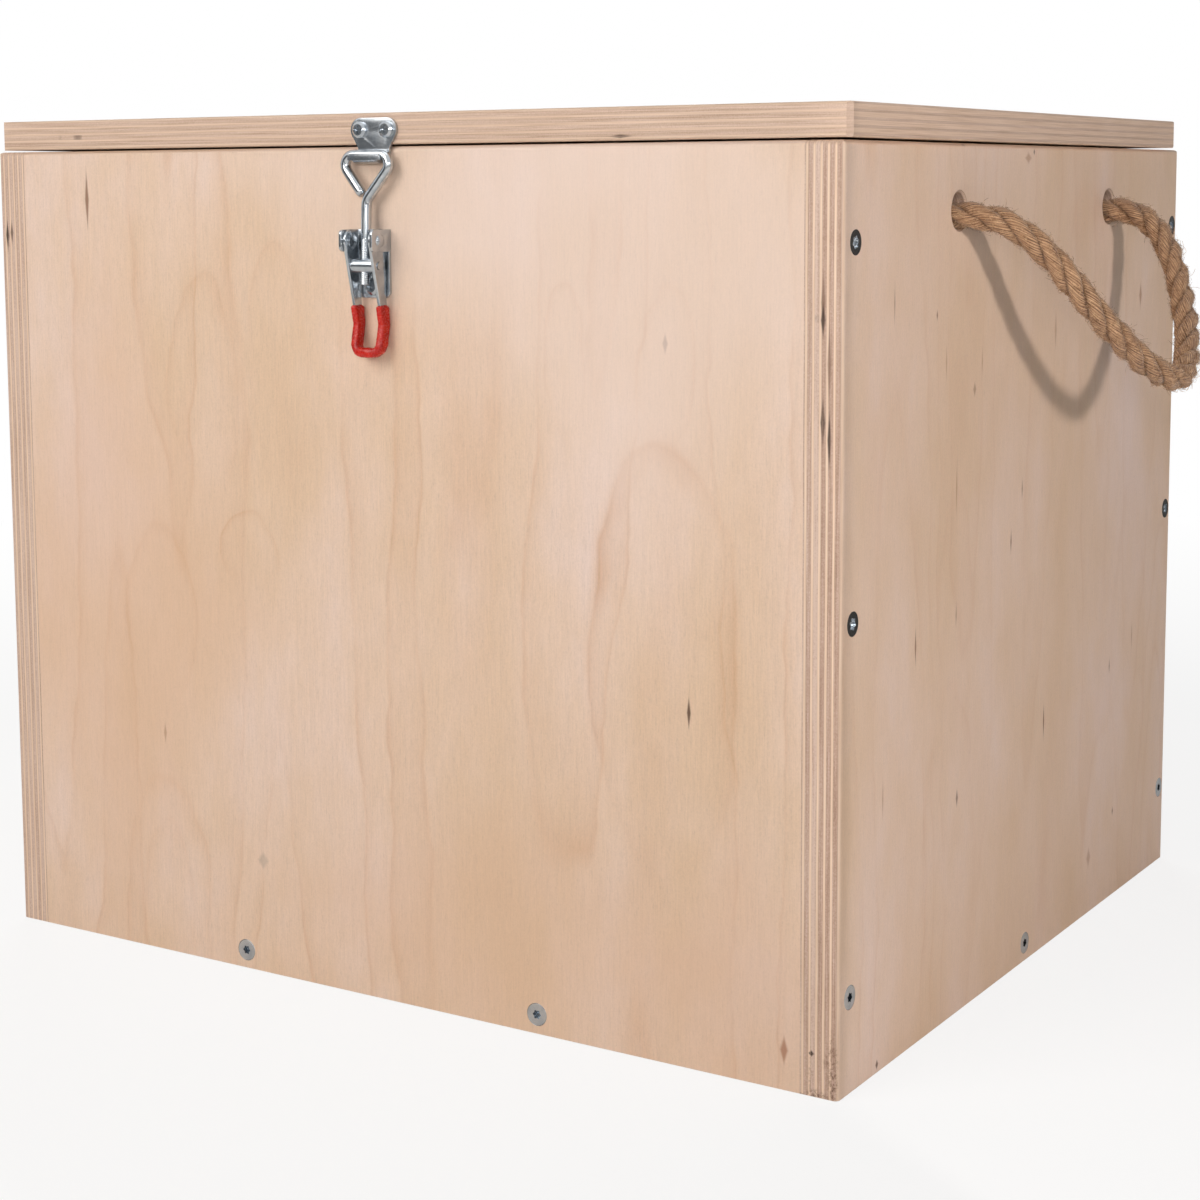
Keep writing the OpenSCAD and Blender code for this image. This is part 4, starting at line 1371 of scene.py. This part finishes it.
def screw_tree():
    """Geometry nodes: a star-drive countersunk screw at every point of a mesh.

    Each point says which way its head looks in "way". The head is a flat ring round the star's
    recess, over a cone, a shank and a point.
    """
    tree = bpy.data.node_groups.new("countersunk_screws", "GeometryNodeTree")
    face = tree.interface
    face.new_socket("Geometry", in_out="INPUT", socket_type="NodeSocketGeometry")
    for name, kind in (
        ("Head radius", "NodeSocketFloat"), ("Recess radius", "NodeSocketFloat"),
        ("Recess depth", "NodeSocketFloat"), ("Shank radius", "NodeSocketFloat"),
        ("Length", "NodeSocketFloat"), ("Recess points", "NodeSocketInt"),
        ("Seed", "NodeSocketInt"), ("Material", "NodeSocketMaterial"),
        ("Recess material", "NodeSocketMaterial"),
    ):
        face.new_socket(name, in_out="INPUT", socket_type=kind)
    face.new_socket("Geometry", in_out="OUTPUT", socket_type="NodeSocketGeometry")
    given = tree.nodes.new("NodeGroupInput").outputs

    def times(a, b):
        return add(tree, "ShaderNodeMath", {0: a, 1: b}, operation="MULTIPLY").outputs[0]

    def lifted(shape, z):
        up = add(tree, "ShaderNodeCombineXYZ", {2: z}).outputs[0]
        return add(tree, "GeometryNodeTransform", {0: shape, "Translation": up}).outputs[0]

    def joined(*shapes):
        made = tree.nodes.new("GeometryNodeJoinGeometry")
        for shape in reversed(shapes):
            tree.links.new(shape, made.inputs[0])
        return made.outputs[0]

    star = add(
        tree,
        "GeometryNodeCurveStar",
        {"Points": given["Recess points"], "Inner Radius": times(given["Recess radius"], 0.66),
         "Outer Radius": given["Recess radius"]},
    ).outputs[0]
    star = add(tree, "GeometryNodeFilletCurve", {"Curve": star, "Radius": times(given["Recess radius"], 0.16), "Count": 3}, mode="POLY").outputs[0]
    bevel = times(given["Head radius"], 0.035)
    flat_r = add(
        tree, "ShaderNodeMath", {0: given["Head radius"], 1: bevel}, operation="SUBTRACT"
    ).outputs[0]
    outer = add(
        tree, "GeometryNodeCurvePrimitiveCircle", {"Resolution": 40, "Radius": flat_r}
    ).outputs[0]
    ring = add(tree, "GeometryNodeFillCurve", {"Curve": joined(outer, star)}, mode="NGONS")
    floor = add(tree, "GeometryNodeFillCurve", {"Curve": star}, mode="NGONS")
    recess = add(
        tree,
        "GeometryNodeExtrudeMesh",
        {
            "Mesh": floor.outputs[0],
            "Offset Scale": times(given["Recess depth"], -1.0),
            "Individual": False,
        },
    )
    recess = add(
        tree,
        "GeometryNodeSetMaterial",
        {"Geometry": recess.outputs[0], "Material": given["Recess material"]},
    )
    rim = add(
        tree,
        "GeometryNodeMeshCone",
        {"Vertices": 40, "Radius Top": flat_r, "Radius Bottom": given["Head radius"],
         "Depth": bevel},
        fill_type="NONE",
    ).outputs["Mesh"]
    cone_depth = add(
        tree, "ShaderNodeMath", {0: given["Head radius"], 1: given["Shank radius"]},
        operation="SUBTRACT",
    ).outputs[0]
    cone = add(
        tree,
        "GeometryNodeMeshCone",
        {"Vertices": 40, "Radius Top": given["Head radius"],
         "Radius Bottom": given["Shank radius"], "Depth": cone_depth},
        fill_type="NONE",
    ).outputs["Mesh"]
    shank = add(
        tree,
        "GeometryNodeMeshCone",
        {"Vertices": 16, "Radius Top": given["Shank radius"],
         "Radius Bottom": times(given["Shank radius"], 0.3),
         "Depth": times(given["Length"], 0.945)},
        fill_type="NGON",
    ).outputs["Mesh"]
    plated = add(
        tree,
        "GeometryNodeSetMaterial",
        {
            "Geometry": joined(
                ring.outputs[0], lifted(rim, times(bevel, -1.0)),
                lifted(cone, times(cone_depth, -1.03)),
                lifted(shank, times(given["Length"], -1.0)),
            ),
            "Material": given["Material"],
        },
    )
    whole = joined(plated.outputs[0], recess.outputs[0])
    way = add(tree, "GeometryNodeInputNamedAttribute", {"Name": "way"}, data_type="FLOAT_VECTOR")
    stand = add(
        tree, "FunctionNodeAlignRotationToVector", {"Vector": way.outputs[0]}, axis="Z"
    )
    spin = add(
        tree, "FunctionNodeRandomValue", {2: 0.0, 3: 6.283, "Seed": given["Seed"]},
        data_type="FLOAT",
    )
    turn = add(
        tree, "FunctionNodeEulerToRotation",
        {0: add(tree, "ShaderNodeCombineXYZ", {2: spin.outputs[1]}).outputs[0]},
    )
    turned = add(
        tree,
        "FunctionNodeRotateRotation",
        {"Rotation": stand.outputs[0], "Rotate By": turn.outputs[0]},
        rotation_space="LOCAL",
    )
    placed = add(
        tree,
        "GeometryNodeInstanceOnPoints",
        {"Points": given["Geometry"], "Instance": whole, "Rotation": turned.outputs[0]},
    )
    solid = add(tree, "GeometryNodeRealizeInstances", {"Geometry": placed.outputs[0]})
    out = tree.nodes.new("NodeGroupOutput")
    tree.links.new(solid.outputs[0], out.inputs[0])
    return tree


def driven_screws(node, body, tree, groups, way, values):
    """Screws in place of a CAD node. groups are the heads' places and the values for each."""
    for number, (places, own) in enumerate(groups):
        mesh = bpy.data.meshes.new(node + "_places")
        mesh.from_pydata([tuple(Vector(p) / 1000) for p in places], [], [])
        mesh.attributes.new("way", "FLOAT_VECTOR", "POINT")
        mesh.attributes["way"].data.foreach_set("vector", list(way) * len(places))
        start = bpy.data.objects.new(node + "_places", mesh)
        bpy.context.scene.collection.objects.link(start)
        screws = grown(f"{node}_driven_{number + 1}", start, tree, values | own)
        bpy.data.objects.remove(start)
        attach(screws, body)
        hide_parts(node)


# Stage


def photo_camera():
    """The camera that the photograph's corners and holes give."""
    data = bpy.data.cameras.new("camera")
    data.sensor_width = 36.0
    data.lens = 69.1
    data.shift_x, data.shift_y = -0.0013, -0.1264
    camera = bpy.data.objects.new("camera", data)
    bpy.context.scene.collection.objects.link(camera)
    look = (
        Matrix.Rotation(-0.0045, 3, "Y")
        @ Matrix.Rotation(0.1137, 3, "X")
        @ Matrix.Rotation(-0.5594, 3, "Z")
    )
    turn = look.transposed() @ Matrix.Rotation(math.pi / 2, 3, "X")
    camera.matrix_world = Matrix.Translation((0.544, -0.879, 0.321)) @ turn.to_4x4()
    bpy.context.scene.camera = camera


def soft_lamp(name, aim, way, distance, size, watts, tint="#FFFFFF"):
    """A square soft box that shines on a point from a given way."""
    data = bpy.data.lights.new(name, "AREA")
    data.shape = "SQUARE"
    data.size = size
    data.energy = watts
    data.color = srgb(tint)[:3]
    lamp = bpy.data.objects.new(name, data)
    bpy.context.scene.collection.objects.link(lamp)
    way = Vector(way).normalized()
    lamp.location = Vector(aim) + way * distance
    lamp.rotation_mode = "QUATERNION"
    lamp.rotation_quaternion = way.to_track_quat("Z", "Y")


def pale_floor():
    """A pale floor that reads as white paper but keeps the chest's soft shadow."""
    shape = bmesh.new()
    bmesh.ops.create_grid(shape, x_segments=1, y_segments=1, size=4000)
    bmesh.ops.translate(shape, vec=(0, 0, -0.3), verts=shape.verts)
    material, tree = new_material("white_paper_floor")
    seen = add(tree, "ShaderNodeLightPath")
    glow = add(tree, "ShaderNodeEmission", {"Color": srgb("#FFFFFF"), "Strength": 1.0})
    paper = add(tree, "ShaderNodeBsdfDiffuse", {"Color": srgb("#F4F3F1")})
    # The paper runs out into the white backdrop from 0.5 m to 1.3 m off
    coords = add(tree, "ShaderNodeTexCoord")
    off = add(
        tree, "ShaderNodeVectorMath", {0: coords.outputs["Object"]}, operation="LENGTH"
    )
    white = add(
        tree,
        "ShaderNodeMapRange",
        {"Value": off.outputs["Value"], "From Min": 0.5, "From Max": 1.3, "To Min": 0.82,
         "To Max": 1.0},
    )
    share = add(
        tree, "ShaderNodeMath", {0: seen.outputs["Is Camera Ray"], 1: white.outputs[0]},
        operation="MULTIPLY",
    )
    mixed = add(
        tree, "ShaderNodeMixShader",
        {0: share.outputs[0], 1: paper.outputs[0], 2: glow.outputs[0]},
    )
    finish_material(tree, mixed)
    to_piece("floor", shape, material=material, smooth=False)


def black_cloth():
    """Matt black cloth, which gives back almost no light."""
    material, tree = new_material("black_cloth")
    finish_material(tree, add(tree, "ShaderNodeBsdfDiffuse", {"Color": srgb("#0A0A0A")}))
    return material


def grey_card():
    """A grey card beside the camera that only metal sees, so that it shows its edges."""
    shape = bmesh.new()
    bmesh.ops.create_grid(shape, x_segments=1, y_segments=1, size=1)
    bmesh.ops.scale(shape, vec=(430, 330, 1), verts=shape.verts)
    way = Vector((-0.61, -0.79, 0.0))
    bmesh.ops.rotate(shape, matrix=way.to_track_quat("Z", "Y").to_matrix(), verts=shape.verts)
    bmesh.ops.translate(shape, vec=Vector((0, -180, 300)) + way * 1250, verts=shape.verts)
    material, tree = new_material("grey_card")
    finish_material(
        tree, add(tree, "ShaderNodeEmission", {"Color": srgb("#3E4348"), "Strength": 1.0})
    )
    card = to_piece("grey_card", shape, material=material, smooth=False)
    card.visible_camera = card.visible_diffuse = card.visible_shadow = False


def key_flag():
    """A black flag by the near corner, out of view, which keeps the key light off the front."""
    lamp = Vector((200, -100, 260)) + Vector((1.0, -0.71, 0.29)).normalized() * 1450
    corner = Vector((BODY_W / 2, -BODY_D / 2, 0))
    ray = (lamp - corner).to_2d().normalized()
    edge = corner.to_2d() + ray * 210
    far = edge + Vector((ray.y, -ray.x)) * 230
    ends = [(x, y, z) for (x, y) in (edge, far) for z in (40, 460)]
    card = to_piece("key_flag", ends, [(0, 1, 3, 2)], black_cloth(), smooth=False)
    card.visible_camera = card.visible_diffuse = card.visible_glossy = False
    passed = bpy.data.collections.new("passed_by_other_lamps")
    passed.objects.link(card)
    passed.collection_objects[0].light_linking.link_state = "EXCLUDE"
    for lamp in bpy.context.scene.objects:
        if lamp.type == "LIGHT" and lamp.name != "key":
            lamp.light_linking.blocker_collection = passed


def studio_light():
    """A white room to the eye and to metal; its light on the chest is plain and soft."""
    world = bpy.data.worlds.new("white_studio")
    bpy.context.scene.world = world
    world.use_nodes = True
    tree = world.node_tree
    tree.nodes.clear()
    seen = add(tree, "ShaderNodeLightPath")
    straight = add(
        tree,
        "ShaderNodeMath",
        {0: seen.outputs["Is Camera Ray"], 1: seen.outputs["Is Transmission Ray"]},
        operation="MAXIMUM",
    )
    strength = add(
        tree,
        "ShaderNodeMix",
        {0: straight.outputs[0], 2: 0.042, 3: 1.0},
    )
    strength = add(
        tree,
        "ShaderNodeMix",
        {0: seen.outputs["Is Glossy Ray"], 2: strength.outputs[0], 3: 0.8},
    )
    light = add(
        tree,
        "ShaderNodeBackground",
        {"Color": srgb("#FFFFFF"), "Strength": strength.outputs[0]},
    )
    add(tree, "ShaderNodeOutputWorld", {"Surface": light.outputs[0]})
    soft_lamp("key", (0.2, -0.1, 0.26), (1.0, -0.71, 0.29), 1.45, 0.1, 10.7, "#FCF5F2")
    soft_lamp("camera_side", (0.0, -0.19, 0.3), (0.57, -0.822, 0.16), 0.95, 0.07, 1.8)
    soft_lamp("front_left", (0.0, -0.17, 0.2), (-0.4, -1.0, 0.62), 1.7, 1.2, 18.6, "#FFFAF4")
    soft_lamp("above", (0.0, 0.0, 0.35), (0.1, -0.25, 1.0), 1.7, 1.0, 3.5)
    soft_lamp("behind", (0.0, 0.0, 0.2), (-0.8, 1.0, 0.45), 1.8, 1.0, 17.0)


bpy.context.scene.view_settings.view_transform = "Standard"
photo_camera()
studio_light()
pale_floor()
grey_card()
key_flag()

zinc = zinc_plated_steel("zinc_plated_steel")
zinc_wire = zinc_plated_steel("zinc_plated_wire", "#C4C9CE", "#A2AAB2", 0.12, 0.2)
# A darker zinc for the screws' recesses: painted shade in the recess
recess_shade_zinc = zinc_plated_steel("zinc_with_painted_recess_shade", "#9AA2AA", "#59626B", 0.16, 0.3)
dark_reflection_zinc = painted_dark_reflection_steel()
vinyl = dipped_red_vinyl()
jute = twisted_jute()
fuzz = jute_fuzz()

make_rope(jute, fuzz)

front_wood = birch_plywood(
    "birch_plywood_front", 0, 2, -BODY_D / 2, 11, WALL,
    rings=[
        (128, 150, 30, 78, 0.9), (-113, 146, 18, 36, 0.5), (-64, 172, 15, 17, 0.9),
        (-113, 10, 22, 68, 0.5), (-112, 0, 13, 60, 0.45), (87, 258, 9, 26, 0.6),
        (131, 258, 12, 27, 0.6), (-48, 250, 15, 46, 0.35), (-88, 240, 17, 44, 0.35),
    ],
    marks=[
        (-149, 316, 1.5, 17, 0.8, "#7A5136"), (139.7, 132.5, 1.1, 8, 0.9, "#4A2C18"),
        (178.7, 14.8, 2.2, 7, 0.8, "#8A4A2A"), (130, 265, 1.6, 5, 0.6, "#6E4528"),
        (-113, 94, 1.2, 6, 0.6, "#8B6040"), (-61, 47, 4, 5, 0.35, "#8F8377"),
        # The broad marks: the two pale ones at the top are a painted pool of light, and the three warmer,
        # darker ones make the face darker at the left and along the bottom
        (120, 300, 150, 150, 0.5, "#EDDAD2"), (20, 330, 130, 90, 0.3, "#EDDAD2"),
        (-140, 150, 110, 190, 0.4, "#DBB496"), (60, 40, 150, 70, 0.25, "#DBB496"),
        (160, 30, 60, 90, 0.3, "#DBB496"),
    ],
    seed=1.0,
)
side_wood = birch_plywood(
    "birch_plywood_side", 1, 2, BODY_W / 2, 11, WALL,
    rings=[
        (-80, 60, 26, 62, 0.5), (-76, 150, 16, 60, 0.35), (60, 190, 30, 130, 0.35),
        (120, 90, 22, 90, 0.3),
    ],
    marks=[
        (-73, 86, 1.4, 5, 0.7, "#5E3D26"), (-4, 333.4, 1.2, 1.8, 0.8, "#5A4034"),
        (-97, 273, 0.9, 3, 0.8, "#7A5136"), (-134, 279, 0.8, 11, 0.56, "#8A6446"),
        (-61, 243, 2.0, 4, 0.56, "#8A6446"), (-88, 255, 1.0, 10, 0.48, "#A67A55"),
        (-54, 253, 0.9, 8, 0.48, "#A67A55"), (-77, 207, 1.0, 16, 0.56, "#A67A55"),
        (-11, 199, 1.0, 6, 0.64, "#8A6446"), (-22, 179, 1.2, 7, 0.72, "#8A6446"),
        (-113, 152, 1.0, 10, 0.8, "#7A5136"), (-76, 158, 0.9, 7, 0.56, "#8A6446"),
        (17, 98, 1.0, 11, 0.88, "#7A5136"), (-143, 3, 1.6, 2.6, 0.9, "#5E3D26"),
        (96, 107, 1.3, 5, 0.56, "#8A6446"), (74, 25, 3.4, 6, 0.48, "#A0714C"),
        (127, 271, 2.5, 8, 0.64, "#A0714C"), (-10, 331, 4.7, 3, 0.56, "#A0714C"),
        (104, 39, 1.3, 3, 0.72, "#8A6446"), (-140, 101, 0.8, 11, 0.56, "#A67A55"),
        (23, 261, 1.7, 11, 0.48, "#A67A55"), (125, 116, 1.0, 10, 0.56, "#A67A55"),
    ],
    slots=[
        (192.4, 281, 1.2, 16, 0.65, "#6B4A36"), (192.4, 275, 1.3, 8, 0.9, "#33211A"),
        (194.8, 260, 1.0, 22, 0.65, "#6B4A36"), (192.5, 240, 1.3, 12, 0.9, "#33211A"),
        (195.0, 234, 1.0, 15, 0.9, "#33211A"), (189.6, 15.7, 1.6, 1.6, 1.0, "#2A1A14"),
    ],
    smudges=[
        (197.6, 13, 4.6, 17, 0.75, "#6E4C36"), (198.0, 6, 3.6, 10, 0.8, "#5A3B28"),
        (192, 0, 12, 4.0, 0.85, "#4A3124"), (189.3, 8, 1.6, 16, 0.5, "#6E4C36"),
    ],
    figured=0.55, seed=4.0,
)
left_wood = birch_plywood(
    "birch_plywood_left", 1, 2, -BODY_W / 2, 11, WALL,
    rings=[(40, 120, 28, 90, 0.6), (-70, 200, 18, 60, 0.4)],
    slots=[(-196.0, 301, 1.3, 9, 1.0, "#33211A"), (-193.4, 302, 1.2, 7, 0.9, "#4A3020")],
    seed=7.0,
)
back_wood = birch_plywood(
    "birch_plywood_back", 0, 2, BODY_D / 2, 11, WALL,
    rings=[(-90, 160, 34, 100, 0.6), (70, 90, 22, 64, 0.5), (120, 250, 14, 40, 0.5)],
    marks=[(30, 210, 1.2, 9, 0.7, "#5E3D26")], seed=10.0,
)
bottom_wood = birch_plywood("birch_plywood_bottom", 1, 0, -0.01, 11, WALL, seed=13.0)
lid_wood = birch_plywood(
    "birch_plywood_lid", 1, 0, LID_BOTTOM + LID_T, 9, LID_T,
    rings=[(-40, 30, 34, 110, 0.7), (70, -90, 20, 70, 0.5), (60, 120, 16, 50, 0.5)],
    marks=[(20, -60, 1.1, 8, 0.7, "#5E3D26")],
    slots=[(338.3, 112, 0.9, 7.0, 1.0, "#33211A")], bands=0.45, seed=16.0,
)
for node, wood in {
    "front_panel": front_wood,
    "side_panel_right": side_wood,
    "side_panel_left": left_wood,
    "back_panel": back_wood,
    "bottom_panel": bottom_wood,
    "lid_board": lid_wood,
}.items():
    dress(node, wood)

for node in (
    "hinge_body_screws", "hinge_lid_screws", "latch_base_screws", "catch_screws",
    "lever_rivets", "hinge_pin_right", "hinge_pin_left", "trunnion_barrel",
):
    dress(node, zinc)
dipped_grip(vinyl)
bent_loop(zinc_wire)
screws = screw_tree()
wood_screw = {
    "Head radius": 0.0044, "Recess depth": 0.002, "Shank radius": 0.0021, "Length": 0.045,
    "Recess points": 6,
}
# The lower screws: plain zinc heads, with painted shade in their recesses
bright = {"Material": zinc, "Recess material": recess_shade_zinc, "Recess radius": 0.0021}
# The upper heads: near black as a painted reflection of dark surroundings, round recesses of bright zinc
black = {
    "Material": dark_reflection_zinc, "Recess material": zinc_wire, "Recess radius": 0.0027,
    "Recess depth": 0.0009,
}
upper = [(200.0, y, z) for y in (-165.8, 168.4) for z in (169.3, 301.3)]
lower = [(200.0, -165.8, 35.3), (200.0, 168.4, 35.3), (200.0, 0.0, 7.5)]
front_places = [(-71.0, -175.0, 7.5), (73.0, -175.0, 7.5)]
driven_screws(
    "screws_side_right", "box", screws, [(upper, black), (lower, bright)], (1, 0, 0),
    wood_screw | {"Seed": 4},
)
driven_screws(
    "screws_side_left", "box", screws,
    [([(-x, y, z) for x, y, z in row], own) for row, own in ((upper, black), (lower, bright))],
    (-1, 0, 0), wood_screw | {"Seed": 5},
)
driven_screws(
    "screws_front", "box", screws, [(front_places, bright)], (0, -1, 0),
    wood_screw | {"Seed": 6},
)
driven_screws(
    "screws_back", "box", screws, [([(x, -y, z) for x, y, z in front_places], bright)],
    (0, 1, 0), wood_screw | {"Seed": 7},
)

for node, body in {
    "latch_base": "box", "catch_plate": "lid", "latch_lever": "lever",
    "hinge_body_leaf_right": "box", "hinge_body_leaf_left": "box",
    "hinge_lid_leaf_right": "lid", "hinge_lid_leaf_left": "lid",
}.items():
    rolled_edges(node, body, zinc, 0.2)
